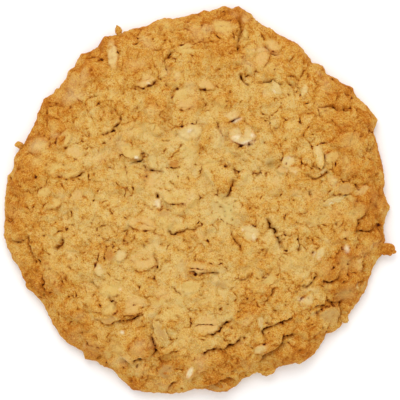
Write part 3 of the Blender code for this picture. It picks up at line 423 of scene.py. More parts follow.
# Fine relief that only the looks have
SKIN_SUBDIVISIONS = 9
SKIN_TRIANGLES = 196000
EDGE_NOTCHES = [(3.0, 0.14), (1.0, 0.14)]
CRUST_GRAIN = [(1.8, 0.1), (0.8, 0.07)]
CRUMBLE_SIZE = 2.3
CRUMBLE_HEIGHT = 0.34
CRUMBLE_MEAN = 0.7
CRUMBLE_PATCH_SIZE = 9.0
CRUMBLE_PATCH_RANGE = (-0.5, 0.4)
CRUMBLE_FADE = (0.2, 0.5)
OAT_SMOOTHNESS = 0.5
OAT_FADE = (0.25, 0.6)
RIM_GRAIN_GAIN = 1.0
RIM_STARTS = 0.78
WANDER = [(2.0, 0.65), (0.7, 0.35)]
FLAKE_WANDER = 0.65
CELL = 1.5
CELLS = 90
FITFUL_SIZE = 1.0
FITFUL_SHARE = 0.5
CRACK_TAPER = 1.2
CRACK_END_STRENGTH = 0.75
CRACK_LEAST_STRENGTH = 0.9
CRACK_STRENGTH_PER_WIDTH = 0.24
GROOVE_WIDTH_SHARE = 1.25
GROOVE_STEEPNESS = 1.5
DARK_SPREAD = 0.5
PIT_DEPTH_SHARE = 1.0
PIT_RADIUS_SHARE = 0.75
PIT_STRENGTH_PER_WIDTH = 0.4
PIT_LEAST_STRENGTH = 0.94
PORES = 380
PORE_WIDTHS = (0.3, 0.7)
TINY_CRACKS = 760
TINY_CRACK_LENGTHS = (0.3, 2.8)
TINY_CRACK_BEND = 60
TINY_CRACK_STRENGTHS = (0.76, 1.05)
TINY_CRACK_DEPTH = 0.3
CRACKLE = [(7.5, 0.98), (3.6, 0.93)]
CRACKLE_DEPTH = 0.3
CRACKLE_GROOVE = 0.3
CRACKLE_PATCH_SIZE = 3.0
CRACKLE_PATCH_RANGE = (0.1, 0.35)
FLAKE_COVER = 0.5
PATCH_COVER = 0.25
# Painted shadow along the flakes' raised edges and painted shade in their creases
FLAKE_RIM_SHADOW_STRENGTH = 0.98
FLAKE_CREASE_SHADE_STRENGTH = 0.92
CREASED_LENGTHS = (4.0, 6.0)
FLAKE_RIM_SHADOW_REACH = (0.2, 0.9)
BURIED_FLAKES = 150
BURIED_FLAKE_LENGTHS = (3.0, 6.5)
BURIED_FLAKE_ROUNDNESS = (0.5, 0.8)
BURIED_FLAKE_STRENGTHS = (0.15, 0.6)
BURIED_FLAKE_TONES = ["gold", "gold", "cream", "cream", "pink"]
BURIED_FLAKE_RISES = (0.03, 0.16)
PATCH_RISE = 0.06
BEDDED_STRENGTH = 0.8
CROWDING = 0.42
MARKED_SHARE = 0.98
NEVER_ZERO = 1e-6

# Colours as they look, 0 to 255
DOUGH_COLOURS = [
    (0.0, (212, 184, 118)), (0.3, (208, 168, 89)), (0.55, (202, 149, 60)), (0.8, (194, 126, 38)),
    (1.0, (170, 99, 25)),
]
# The palest oat tone is both a white oat and a painted highlight; the shade tone is the painted shade of
# hollows.
OAT_TONES = {
    "white_and_highlight": (231, 217, 182), "cream": (217, 190, 130), "gold": (212, 178, 104), "pink": (213, 173, 106),
    "tan": (192, 148, 86), "grey": (190, 150, 88), "moss": (206, 180, 112), "brown": (182, 114, 42),
    "shade": (156, 116, 50),
}
FRECKLE_COLOUR = (168, 92, 8)
FLECK_COLOUR = (219, 190, 128)
# The painted shade in cracks, pits and along flake edges: how much of the dough it covers, then its colours
CRACK_SHADE_COVER = [
    (0.38, (0, 0, 0)), (0.49, (104, 104, 104)), (0.55, (188, 188, 188)), (0.61, (238, 238, 238)),
    (0.67, (255, 255, 255)),
]
CRACK_SHADE_COLOURS = [(0.48, (174, 97, 0)), (0.56, (136, 62, 0)), (0.68, (64, 16, 0))]
UNDERSIDE_COLOURS = [(0.25, (206, 148, 66)), (0.5, (180, 112, 44)), (0.75, (142, 82, 30))]
FLOOR_COLOUR = (252, 252, 252)
FLOOR_ROUGHNESS = 0.9

# Spots of noise in the crust's look: size, the two noise values they are spread between, and detail
SPOT_ROUGHNESS = 0.6
BROWN_SPOTS = [(2.4, 0.3, 0.7, 2.0), (0.8, 0.3, 0.7, 2.0), (0.28, 0.3, 0.7, 1.0)]
FLECK_SPOTS = (0.8, 0.5, 0.68)
FRECKLE_SPOTS = (0.5, 0.5, 0.68)
OAT_SPOTS = (1.1, 0.0, 0.5)
UNDERSIDE_SPOTS = (3.5, 0.25, 0.75, 4.0)
SPECK_SPOTS = (0.5, 0.62, 0.76)
RAGGED_SPOTS = (0.4, 0.2, 0.8)
SHEEN_SPOTS = (1.6, 0.3, 0.7)

# How strongly the spots, the cracks' painted shade and the soft painted shade round the cracks colour the
# crust. A pair is a factor and what is added.
BROWN_SPOT_SHARES = (0.16, 0.12, 0.52)
CRACK_HALO_SHADE = 0.4
BROWNED_OFFSET = -0.46
FLECKS_BY_BROWNING = (-0.6, 0.6)
FRECKLES_BY_BROWNING = (1.1, 0.15)
SPECK_DARKNESS = 0.56
CRACK_SHADE_DARKNESS = 0.58
RAGGEDNESS = 0.1
RAGGED_OFFSET = -0.05

# The crust's sheen, the light that glows through it, and its finest grain, in millimetres
CRUST_ROUGHNESS = (0.2, 0.58)
CRUST_SPECULAR = 0.07
GLOW_SHARE = 0.25
GLOW_RADIUS = (1.0, 0.5, 0.2)
GLOW_REACH = 0.7
FINE_GRAIN_SIZE = 0.34
FINE_GRAIN_DETAIL = 3.0
FINE_GRAIN_ROUGHNESS = 0.65
FINE_GRAIN_STRENGTH = 0.9
FINE_GRAIN_HEIGHT = 0.18
CRACK_BUMP = -0.35

# Camera and light, metres and degrees
PHOTO_WIDTH = 0.104
CAMERA_DISTANCE = 2.0
SENSOR = 36.0
FRAMED_HEIGHT = 0.006
FLOOR_RADIUS = 3.0
FLOOR_CORNERS = 64
NEAREST_SEEN = 0.05
WORLD_STRENGTH = 1.0
KEY_ELEVATION = 58
KEY_AZIMUTH = 98
KEY_DISTANCE = 1.2
KEY_SIZE = 0.7
KEY_WATTS = 4.75


def curve_through(points, steps):
    """Catmull-Rom curve through the points, with so many steps from one point to the next."""
    knots = np.array([points[0], *points, points[-1]], float)
    t = np.linspace(0, 1, steps, endpoint=False)[:, None]
    pieces = []
    for a, b, c, d in zip(knots, knots[1:], knots[2:], knots[3:]):
        pieces.append(
            0.5 * (2 * b + (c - a) * t + (2 * a - 5 * b + 4 * c - d) * t**2 + (3 * b - a - 3 * c + d) * t**3)
        )
    return np.vstack([*pieces, knots[-1:]])


def outline_at(angle):
    """The outline's radius at each angle: without its small lobes, and as it is."""
    corners = np.array(OUTLINE)
    angles = np.arctan2(corners[:, 1], corners[:, 0])
    order = np.argsort(angles)
    even = np.linspace(-math.pi, math.pi, OUTLINE_STEPS, endpoint=False)
    detailed = np.interp(even, angles[order], np.hypot(*corners[order].T), period=2 * math.pi)
    waves = np.fft.rfft(detailed)
    waves[SMOOTH_HARMONICS + 1 :] = 0
    smooth = np.fft.irfft(waves, OUTLINE_STEPS)
    return [np.interp(angle, even, radii, period=2 * math.pi) for radii in (smooth, detailed)]


def section_at(share):
    """Radius and height shares once that share of the skin's area is passed, and the way out of it."""
    full_size = [math.hypot(*OUTLINE[0]), THICKNESS]
    curve = np.maximum(curve_through(SECTION, SECTION_STEPS), 0)
    step = np.diff(curve, axis=0) * full_size
    strip = np.hypot(*step.T) * (curve[1:, 0] + curve[:-1, 0])
    underneath = curve[1:, 1] + curve[:-1, 1] == 0
    area = np.concatenate([[0], np.cumsum(np.where(underneath, BASE_SHARE, 1) * strip)])
    place = np.interp(share, area / area[-1], np.arange(len(curve)))
    index = np.arange(len(curve))
    slope = np.gradient(curve * full_size, axis=0)
    outward = np.stack([-slope[:, 1], slope[:, 0]], 1) / np.linalg.norm(slope, axis=1)[:, None]
    return [np.interp(place, index, column) for column in (*curve.T, *outward.T)]


def smooth_step(low, high, value):
    """0 at low and 1 at high, with a soft change between them. Low may be the larger one."""
    t = np.clip((value - low) / (high - low), 0, 1)
    return t * t * (3 - 2 * t)


def fractal(points, size, octaves=3):
    """Noise with lumps of about that size, from about -1 to 1."""
    return np.array([noise.fractal(p, 1.0, 2.0, octaves) for p in (points / size).tolist()])


def layered(points, layers):
    """Noise of several sizes and heights, added up."""
    return sum(height * fractal(points, size, 2) for size, height in layers)


def crease_gaps(points, size):
    """0 on the creases between rounded lumps of that size, and more the further from them a point is."""
    gaps = []
    for p in (points / size).tolist():
        distances = noise.voronoi(p)[0]
        gaps.append(distances[1] - distances[0])
    return np.array(gaps)


def wall_distances(xy, size):
    """How far each point of the plane is from the nearest wall between cells of that size."""
    walls = []
    for x, y in (xy / size).tolist():
        (first, second, _, _), (a, b, _, _) = noise.voronoi((x, y, 0))
        walls.append((second**2 - first**2) / (2 * math.hypot(b[0] - a[0], b[1] - a[1])))
    return size * np.array(walls)


def nearness(points, x, y, radius):
    """1 at a place on the top, and less the further from it a point is."""
    return np.exp(-((points[:, 0] - x) ** 2 + (points[:, 1] - y) ** 2) / radius**2)


def relief(points):
    """How far the skin stands out from the plain section at each point."""
    bend = np.stack([fractal(points + shift, WARP_SIZE) for shift in WARP_SHIFTS], 1)
    warped = points + bend * WARP_SIZE * WARP_REACH
    height = SWELL_HEIGHT * fractal(points, SWELL_SIZE) + GRAIN_HEIGHT * fractal(points, GRAIN_SIZE)
    for size, rise in COBBLES:
        height += rise * (smooth_step(0, CREASE_SPREAD, crease_gaps(warped, size)) - COBBLE_MEAN)
    for x, y, radius, rise in MOUNDS:
        height += rise * nearness(points, x, y, radius)
    return height


def crumble(points):
    """Small crumbs in relief, in patches."""
    lumps = smooth_step(0, CREASE_SPREAD, crease_gaps(points, CRUMBLE_SIZE))
    patches = smooth_step(*CRUMBLE_PATCH_RANGE, fractal(points, CRUMBLE_PATCH_SIZE, 2))
    return patches * CRUMBLE_HEIGHT * (lumps - CRUMBLE_MEAN)


def unit(degrees):
    """The direction at that angle."""
    return math.cos(math.radians(degrees)), math.sin(math.radians(degrees))


def by_cell(xy):
    """The points sorted by the square cell that they lie in, and where each cell starts."""
    column, row = np.clip(np.floor(xy / CELL).astype(int) + CELLS // 2, 0, CELLS - 1).T
    cell = column * CELLS + row
    order = np.argsort(cell, kind="stable")
    return order, np.searchsorted(cell[order], np.arange(CELLS**2 + 1))


def near(skin, x, y, reach):
    """The numbers of the points in the cells within a square round a place."""
    corners = np.array([[x - reach, y - reach], [x + reach, y + reach]])
    first, last = np.clip(np.floor(corners / CELL).astype(int) + CELLS // 2, 0, CELLS - 1)
    order, starts = skin["cells"]
    found = []
    for column in range(first[0], last[0] + 1):
        found.append(order[starts[column * CELLS + first[1]] : starts[column * CELLS + last[1] + 1]])
    return np.concatenate(found)


def wandered(points):
    """The points' places seen from above, each moved a little so that lines drawn there come out ragged."""
    moved = points[:, :2].copy()
    for size, reach in WANDER:
        moved += reach * np.array([noise.noise_vector(p)[:2] for p in (points / size).tolist()])
    return moved


def darken(skin, close, strength, distance):
    """Marks how near the middle of a crack or pit each point is. Near 1 it is drawn dark, a painted shade
    for the shadow in it.
    """
    near_it = strength * np.exp(-((distance / DARK_SPREAD) ** 2))
    skin["crack"][close] = np.maximum(skin["crack"][close], near_it)


def carve(skin, route, half_width, deepest, strength):
    """Cuts one crack into the skin: a groove that swells and thins on its way, and thins out at its ends."""
    route = np.array(route, float).reshape(-1, 2)
    passed = np.concatenate([[0], np.cumsum(np.linalg.norm(np.diff(route, axis=0), axis=1))])
    for start, end, before in zip(route, route[1:], passed):
        along = end - start
        close = near(skin, *(start + end) / 2, np.abs(along).max() / 2 + 2 * DARK_SPREAD)
        offset = skin["xy"][close] - start
        t = np.clip(offset @ along / (along @ along), 0, 1)
        distance = np.linalg.norm(offset - t[:, None] * along, axis=1)
        gone = before + t * np.linalg.norm(along)
        inward = np.clip(np.minimum(gone, passed[-1] - gone) / CRACK_TAPER, 0, 1)
        share = skin["fitful"][close] * (CRACK_END_STRENGTH + (1 - CRACK_END_STRENGTH) * inward)
        inside = np.clip(1 - distance / (half_width * GROOVE_WIDTH_SHARE), 0, 1)
        groove = deepest * share * inside**GROOVE_STEEPNESS
        skin["depth"][close] = np.maximum(skin["depth"][close], groove)
        # The crack's shade is painted dark along it.
        darken(skin, close, strength * share, distance)


def dig(skin, x, y, width):
    """Cuts one round pit into the skin."""
    close = near(skin, x, y, 2 * DARK_SPREAD)
    distance = np.linalg.norm(skin["xy"][close] - (x, y), axis=1)
    hole = PIT_DEPTH_SHARE * width * smooth_step(PIT_RADIUS_SHARE * width, 0, distance)
    skin["depth"][close] = np.maximum(skin["depth"][close], hole)
    strength = PIT_LEAST_STRENGTH + PIT_STRENGTH_PER_WIDTH * (width - PORE_WIDTHS[0])
    # The pit's shade is painted dark in it.
    darken(skin, close, strength, distance)


def scattered(random, count, crowding=0.5):
    """So many places on the top: evenly spread at 0.5, and the lower the crowding the nearer the rim."""
    turn = random.uniform(-math.pi, math.pi, count)
    _, edge = outline_at(turn)
    radius = MARKED_SHARE * random.random(count) ** crowding * edge
    return np.stack([np.cos(turn), np.sin(turn)], 1) * radius[:, None]


def crackle(skin):
    """Opens parts of a net of thin cracks all over the top."""
    everywhere = np.arange(len(skin["xy"]))
    level = np.column_stack([skin["xy"], np.zeros(len(everywhere))])
    for size, strength in CRACKLE:
        distance = wall_distances(skin["xy"], size)
        open_here = smooth_step(*CRACKLE_PATCH_RANGE, fractal(level + size, CRACKLE_PATCH_SIZE, 2))
        groove = CRACKLE_DEPTH * open_here * np.clip(1 - distance / CRACKLE_GROOVE, 0, 1)
        skin["depth"] = np.maximum(skin["depth"], groove)
        # The shade in these cracks is painted dark.
        darken(skin, everywhere, strength * skin["fitful"] * (1 + open_here) / 2, distance)


def cut_cracks(skin):
    """Cuts the larger cracks and pits."""
    for half_width, deepest, routes in CRACKS:
        strength = CRACK_LEAST_STRENGTH + CRACK_STRENGTH_PER_WIDTH * half_width
        for route in routes:
            carve(skin, route, half_width, deepest, strength)
    for half_width, deepest, strength, routes in (DARK_CRACKS, THIN_CRACKS, SOFT_CRACKS):
        for route in routes:
            carve(skin, route, half_width, deepest, strength)
    for width, places in PITS:
        for x, y in places:
            dig(skin, x, y, width)


def cut_small_cracks(skin):
    """Cuts short cracks and pores all over the top."""
    random = np.random.default_rng(SEED)
    for start in scattered(random, TINY_CRACKS, CROWDING):
        shortest, longest = TINY_CRACK_LENGTHS
        half = shortest * (longest / shortest) ** random.random() / 2
        turn = random.random() * 360
        bend = random.uniform(-TINY_CRACK_BEND, TINY_CRACK_BEND)
        middle = start + half * np.array(unit(turn))
        route = [start, middle, middle + half * np.array(unit(turn + bend))]
        carve(skin, route, THIN_CRACKS[0], TINY_CRACK_DEPTH, random.uniform(*TINY_CRACK_STRENGTHS))
    for place in scattered(random, PORES, CROWDING):
        dig(skin, *place, random.uniform(*PORE_WIDTHS))


def oval(skin, x, y, length, width, turn):
    """The points near an oval, their places along and across it, and 1 where they lie on its edge."""
    close = near(skin, x, y, length)
    offset = skin["flat"][close] - (x, y)
    along = offset @ unit(turn) / (length / 2)
    across = offset @ unit(turn + 90) / (width / 2)
    return close, along, across, np.hypot(along, across)


def flake_patches():
    """Where flakes show through the skin, with painted highlights and painted shade among them: x, y,
    length, width, turn, tone, strength, rise.
    """
    patches = [(*patch, PATCH_RISE) for patch in PALE_PATCHES]
    random = np.random.default_rng(SEED + 1)
    for x, y in scattered(random, BURIED_FLAKES):
        length = random.uniform(*BURIED_FLAKE_LENGTHS)
        width = length * random.uniform(*BURIED_FLAKE_ROUNDNESS)
        tone = random.choice(BURIED_FLAKE_TONES)
        strength = random.uniform(*BURIED_FLAKE_STRENGTHS)
        turn = random.random() * 180
        rise = random.uniform(*BURIED_FLAKE_RISES)
        patches.append((x, y, length, width, turn, tone, strength, rise))
    return patches


def hide_marks(skin, close, share):
    """Takes away that share of the cracks and pores so far, which a flake lies over."""
    skin["crack"][close] *= 1 - share
    skin["depth"][close] *= 1 - share


def tint(skin, close, strength, tone):
    """Colours the points like an oat of that tone, where no stronger tone lies. The palest tone is partly a
    painted highlight, and the shade tone is painted shade.
    """
    stronger = strength > skin["oat"][close]
    skin["oat_colour"][close[stronger]] = linear(OAT_TONES[tone])
    skin["oat"][close] = np.maximum(skin["oat"][close], strength)


def show_patch(skin, x, y, length, width, turn, tone, strongest, rise):
    """Lets a buried flake show: the skin over it is a little raised, cracked less and coloured like oat.
    Some patches are a painted highlight or a hollow's painted shade.
    """
    close, _, _, far = oval(skin, x, y, length, width, turn)
    skin["height"][close] += rise * smooth_step(*PATCH_RISE_FADE, far)
    hide_marks(skin, close, PATCH_COVER * strongest * smooth_step(*PATCH_COVER_FADE, far))
    tint(skin, close, strongest * smooth_step(*PATCH_TINT_FADE, far), tone)


def bed_flake(skin, x, y, length, width, turn, lean, tone):
    """Lays one flake in the skin, and raises it where the flake's tilted face stands above it. Paints shade
    along its crease and a shadow along its raised edge.
    """
    height = skin["height"]
    close, along, across, far = oval(skin, x, y, length, width, turn)
    sideways = across * width / 2
    crease = BEDDED_CREASE * np.exp(-((across / BEDDED_CREASE_WIDTH) ** 2))
    face = height[close[far < 1]].mean() + BEDDED_PROUD + sideways * math.tan(math.radians(lean))
    face += BEDDED_CURL * (across**2 - along**2 / 2) - crease
    above = face - height[close]
    height[close] += np.maximum(above, 0) * smooth_step(*FLAKE_FACE_FADE, far)
    hide_marks(skin, close, FLAKE_COVER * smooth_step(*FLAKE_COVER_FADE, far))
    shown = BEDDED_STRENGTH * smooth_step(*FLAKE_TINT_FADE, far)
    tint(skin, close, shown * smooth_step(*FLAKE_SUNK_FADE, above), tone)
    # A dark line painted along a long flake's crease, for the shade in it.
    crease_shade = FLAKE_CREASE_SHADE_STRENGTH * smooth_step(*CREASED_LENGTHS, length) * (1 - far**2)
    darken(skin, close, crease_shade * skin["fitful"][close], sideways)
    # A painted shadow just outside the edge, on the side where the flake stands up.
    raised = smooth_step(*FLAKE_RIM_SHADOW_REACH, across * math.copysign(1, lean) / np.maximum(far, NEVER_ZERO))
    rim = (far - 1) * width / 2
    darken(skin, close, FLAKE_RIM_SHADOW_STRENGTH * skin["fitful"][close] * raised, rim)


def lay_flakes(skin):
    """Lays the flakes in the skin: first the buried ones, then those whose faces show."""
    for patch in flake_patches():
        show_patch(skin, *patch)
    for flake in BEDDED_FLAKES:
        bed_flake(skin, *flake)


def linear(colour):
    """The light that a colour of 0 to 255 stands for."""
    c = np.array(colour) / 255
    return np.where(c <= 0.04045, c / 12.92, ((c + 0.055) / 1.055) ** 2.4)


def browning_at(points):
    """How browned the crust is at each point: 0 pale, 1 dark brown."""
    _, edge = outline_at(np.arctan2(points[:, 1], points[:, 0]))
    share = np.hypot(points[:, 0], points[:, 1]) / edge
    amount = BROWNING_MEAN + RIM_BROWNING * smooth_step(RIM_STARTS, 1.0, share)
    amount += SIDE_BROWNING * smooth_step(*SIDE_FADE, points[:, 2] / THICKNESS)
    amount += layered(points + BROWNING_SHIFT, PATCHY_BROWNING)
    for x, y, radius, change in BROWNING:
        amount += change * nearness(points, x, y, radius)
    return amount


def plain_skin(directions):
    """The smooth cookie for a unit sphere's points: places, ways outward, radius and height shares."""
    radius_share, height_share, out, up = section_at((1 - directions[:, 2]) / 2)
    angle = np.arctan2(directions[:, 1], directions[:, 0])
    plain, lobed = outline_at(angle)
    around = np.stack([np.cos(angle), np.sin(angle)], 1)
    at_edge = np.column_stack([around * lobed[:, None], height_share * THICKNESS])
    lobed = lobed + layered(at_edge, EDGE_NOTCHES)
    radius = radius_share * (plain + (lobed - plain) * radius_share**EDGE_DETAIL_POWER)
    points = np.column_stack([around * radius[:, None], height_share * THICKNESS])
    return points, np.column_stack([around * out[:, None], up]), radius_share, height_share


def uncut_skin(points):
    """What is kept for each point of the skin, before anything is cut or laid in it."""
    xy = wandered(points)
    return {
        "xy": xy,
        "flat": points[:, :2] + FLAKE_WANDER * (xy - points[:, :2]),
        "cells": by_cell(xy),
        "height": relief(points),
        "fitful": 1 + FITFUL_SHARE * fractal(points, FITFUL_SIZE, 2),
        "depth": np.zeros(len(points)),
        "crack": np.zeros(len(points)),
        "oat": np.zeros(len(points)),
        "oat_colour": np.tile(linear(OAT_TONES["gold"]), (len(points), 1)),
    }


def baked_skin(directions):
    """Where each point of a unit sphere lies on the cookie, and what the crust is like there."""
    points, normal, radius_share, height_share = plain_skin(directions)
    skin = uncut_skin(points)
    browning = browning_at(points) + CREST_BROWNING * np.clip(skin["height"], *CREST_RANGE)
    crackle(skin)
    cut_small_cracks(skin)
    lay_flakes(skin)
    cut_cracks(skin)
    rougher = 1 + RIM_GRAIN_GAIN * smooth_step(RIM_STARTS, 1.0, radius_share)
    grain = rougher * layered(points, CRUST_GRAIN) * smooth_step(*GRAIN_FADE, height_share)
    grain += crumble(points) * smooth_step(*CRUMBLE_FADE, height_share)
    amount = skin["height"] * smooth_step(*RELIEF_FADE, height_share)
    amount += grain * (1 - OAT_SMOOTHNESS * skin["oat"])
    on_top = smooth_step(*CRACK_FADE, height_share)
    amount -= skin["depth"] * on_top
    # The crack layer holds the painted shade of cracks, pits and flake edges.
    crust = {
        "browning": browning,
        "oat": skin["oat"] * smooth_step(*OAT_FADE, height_share),
        "oat_colour": skin["oat_colour"],
        "crack": skin["crack"] * on_top,
        "underside": smooth_step(*UNDERSIDE_FADE, height_share),
    }
    return points + normal * amount[:, None], crust


def paint(mesh, layers):
    """Stores each layer as one number or one colour a vertex."""
    for name, values in layers.items():
        if values.ndim == 1:
            layer = mesh.attributes.new(name, "FLOAT", "POINT")
            layer.data.foreach_set("value", values.astype(np.float32))
        else:
            layer = mesh.attributes.new(name, "FLOAT_COLOR", "POINT")
            rgba = np.column_stack([values, np.ones(len(values))]).astype(np.float32)
            layer.data.foreach_set("color", rgba.ravel())


def places_of(mesh):
    """The mesh's points, as they are stored."""
    places = np.empty(len(mesh.vertices) * 3, np.float32)
    mesh.vertices.foreach_get("co", places)
    return places.reshape(-1, 3).astype(float)


def move_to(mesh, points):
    """Moves the mesh's points to places in millimetres."""
    mesh.vertices.foreach_set("co", (points * MM).astype(np.float32).ravel())
    mesh.update()


def crust_piece():
    """The dough: a finely divided sphere laid on the cookie's skin, then thinned where it is plain."""
    crust = ball("crust", SKIN_SUBDIVISIONS)
    directions = places_of(crust.data)
    directions /= np.linalg.norm(directions, axis=1)[:, None]
    points, layers = baked_skin(directions)
    move_to(crust.data, points)
    paint(crust.data, layers)
    thin = crust.modifiers.new("thin", "DECIMATE")
    thin.ratio = SKIN_TRIANGLES / len(crust.data.polygons)
    settle(crust)
    return crust


def settle(piece):
    """Applies the piece's modifiers and shades it smooth."""
    done = bpy.data.meshes.new_from_object(piece.evaluated_get(bpy.context.evaluated_depsgraph_get()))
    piece.modifiers.clear()
    piece.data = done
    done.shade_smooth()


def ground_under(dough, x, y, reach):
    """Mean height and slope of the dough within reach of a place, from rays straight down."""
    hits, normals = [], []
    for i in range(SURFACE_PROBES):
        across, along = unit(360 * i / SURFACE_PROBES)
        start = Vector((x + reach * across, y + reach * along, 3 * THICKNESS)) * MM
        place, normal, _, _ = dough.ray_cast(start, Vector((0, 0, -1)))
        if place is not None:
            hits.append(place.z / MM)
            normals.append(normal)
    return sum(hits) / len(hits), sum(normals, Vector()).normalized()


def ball(name, subdivisions):
    """A new object with a unit sphere of even triangles."""
    mesh = bpy.data.meshes.new(name)
    sphere = bmesh.new()
    bmesh.ops.create_icosphere(sphere, subdivisions=subdivisions, radius=1)
    sphere.to_mesh(mesh)
    sphere.free()
    piece = bpy.data.objects.new(name, mesh)
    bpy.context.scene.collection.objects.link(piece)
    return piece


def placed(local, place):
    """Points moved by a matrix."""
    return (np.column_stack([local, np.ones(len(local))]) @ np.array(place).T)[:, :3]


def paint_uncracked(mesh, points, tone, oat):
    """Stores the looks of a flake or a crumb, which has no cracks and no underside."""
    none = np.zeros(len(points))
    paint(mesh, {
        "browning": browning_at(points),
        "oat": oat,
        "oat_colour": np.tile(linear(OAT_TONES[tone]), (len(points), 1)),
        "crack": none,
        "underside": none,
    })


def standing_flake(dough, number, x, y, length, width, turn, lean, tone):
    """A rolled oat: a thin wavy oval with a crease along it, partly sunk in the dough."""
    flake = ball(f"flake_{number}", FLAKE_SUBDIVISIONS)
    directions = places_of(flake.data)
    seed = np.array([FLAKE_NOISE_STEP * number, 0, 0])
    waver = 1 + FLAKE_WAVER * fractal(directions * (1, 1, 0) + seed, FLAKE_WAVER_SIZE, 2)
    side = np.sign(directions[:, 2])
    u, v = (directions[:, :2] * waver[:, None]).T
    z = side * np.sqrt(np.abs(directions[:, 2])) * FLAKE_THICKNESS / 2
    ripple = fractal(np.column_stack([u, v, z]) + seed, FLAKE_RIPPLE_SIZE, 2)
    z += FLAKE_CURL * (v**2 - u**2 / 2) + FLAKE_RIPPLE * ripple
    z -= np.where(side > 0, FLAKE_CREASE * np.exp(-((v / FLAKE_CREASE_WIDTH) ** 2)) * (1 - u**2), 0)
    height, slope = ground_under(dough, x, y, width / WIDTHS_PER_PROBE_REACH)
    place = (
        Matrix.Translation(Vector((x, y, height + FLAKE_PROUD - FLAKE_THICKNESS / 2)))
        @ Vector((0, 0, 1)).rotation_difference(slope).to_matrix().to_4x4()
        @ Matrix.Rotation(math.radians(turn), 4, "Z")
        @ Matrix.Rotation(math.radians(lean), 4, "X")
    )
    points = placed(np.column_stack([u * length / 2, v * width / 2, z]), place)
    move_to(flake.data, points)
    oat = STANDING_STRENGTH * smooth_step(*STANDING_TINT_FADE, np.hypot(u, v))
    paint_uncracked(flake.data, points, tone, oat)
    return flake


def edge_crumb(number, x, y, z, length, width, height, turn):
    """A rough crumb of dough baked onto the edge."""
    crumb = ball(f"crumb_{number}", CRUMB_SUBDIVISIONS)
    directions = places_of(crumb.data)
    rough = 1 + layered(directions + CRUMB_NOISE_STEP * number, CRUMB_ROUGHNESS)
    half = np.array([length, width, height]) / 2
    place = Matrix.Translation(Vector((x, y, z))) @ Matrix.Rotation(math.radians(turn), 4, "Z")
    points = placed(directions * rough[:, None] * half, place)
    move_to(crumb.data, points)
    paint_uncracked(crumb.data, points, "gold", np.zeros(len(points)))
    return crumb


def joined(name, parts):
    """One piece made of all the parts."""
    with bpy.context.temp_override(
        active_object=parts[0], object=parts[0], selected_objects=parts, selected_editable_objects=parts
    ):
        bpy.ops.object.join()
    parts[0].name = parts[0].data.name = name
    parts[0].data.shade_smooth()
    return parts[0]


def fit_to_solid(made):
    """Moves the pieces to where the solid's box is, and shrinks them by what little they pass it."""
    corners = np.vstack([places_of(piece.data) for piece in made])
    own_low, own_high = corners.min(0), corners.max(0)
    low, high = [np.array(corner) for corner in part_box("cookie")]
    scale = np.minimum(1, (high - low) / (own_high - own_low))
    anchor = [(own_low + own_high) / 2, (low + high) / 2]
    anchor[0][2], anchor[1][2] = own_low[2], low[2]
    fit = (
        Matrix.Translation(Vector(anchor[1]))
        @ Matrix.Diagonal((*scale, 1))
        @ Matrix.Translation(-Vector(anchor[0]))
    )
    for piece in made:
        piece.data.transform(fit)


def add(tree, kind, settings=None, **inputs):
    """A shader node with its settings, and its inputs linked or set."""
    made = tree.nodes.new(kind)
    for name, value in (settings or {}).items():
        setattr(made, name, value)
    for name, value in inputs.items():
        socket = made.inputs[int(name[1:])] if name[1:].isdigit() else made.inputs[name.replace("_", " ")]
        if isinstance(value, bpy.types.NodeSocket):
            tree.links.new(value, socket)
        else:
            socket.default_value = value
    return made


def layer(tree, name):
    """What was painted on the mesh under that name."""
    return add(tree, "ShaderNodeAttribute", {"attribute_name": name}).outputs


def ramp(tree, factor, stops):
    """A colour ramp through stops of position and colour."""
    made = add(tree, "ShaderNodeValToRGB", Fac=factor)
    elements = made.color_ramp.elements
    while len(elements) < len(stops):
        elements.new(0.5)
    for element, (position, colour) in zip(elements, stops):
        element.position = position
        element.color = (*linear(colour), 1)
    return made.outputs["Color"]


def times(tree, a, b, plus=0.0, clamp=False):
    """a times b, and something added."""
    settings = {"operation": "MULTIPLY_ADD", "use_clamp": clamp}
    return add(tree, "ShaderNodeMath", settings, _0=a, _1=b, _2=plus).outputs[0]


def spots(tree, where, size, low, high, detail=2.0):
    """Noise with features of that size in millimetres, spread over 0 to 1 between two of its values."""
    texture = {"Scale": 1 / (size * MM), "Detail": detail, "Roughness": SPOT_ROUGHNESS}
    speckle = add(tree, "ShaderNodeTexNoise", Vector=where, **texture)
    spread = add(tree, "ShaderNodeMapRange", Value=speckle.outputs["Fac"], From_Min=low, From_Max=high)
    return spread.outputs["Result"]


def blend(tree, factor, a, b):
    """From colour a to colour b by a factor."""
    return add(tree, "ShaderNodeMix", {"data_type": "RGBA"}, _0=factor, _6=a, _7=b).outputs[2]


def dough_colour(tree, where):
    """Dough from pale to brown: pale flecks show most where it's pale, dark freckles where it's brown."""
    browned = layer(tree, "browning")["Fac"]
    for spread, share in zip(BROWN_SPOTS, BROWN_SPOT_SHARES):
        browned = times(tree, spots(tree, where, *spread), share, browned)
    # A soft painted shade round the cracks, added as browning.
    browned = times(tree, layer(tree, "crack")["Fac"], CRACK_HALO_SHADE, browned)
    browned = times(tree, browned, 1.0, BROWNED_OFFSET, clamp=True)
    colour = ramp(tree, browned, DOUGH_COLOURS)
    paler = times(tree, browned, *FLECKS_BY_BROWNING, clamp=True)
    fleck = times(tree, spots(tree, where, *FLECK_SPOTS), paler)
    colour = blend(tree, fleck, colour, (*linear(FLECK_COLOUR), 1))
    darker = times(tree, browned, *FRECKLES_BY_BROWNING)
    freckle = times(tree, spots(tree, where, *FRECKLE_SPOTS), darker)
    return blend(tree, freckle, colour, (*linear(FRECKLE_COLOUR), 1))


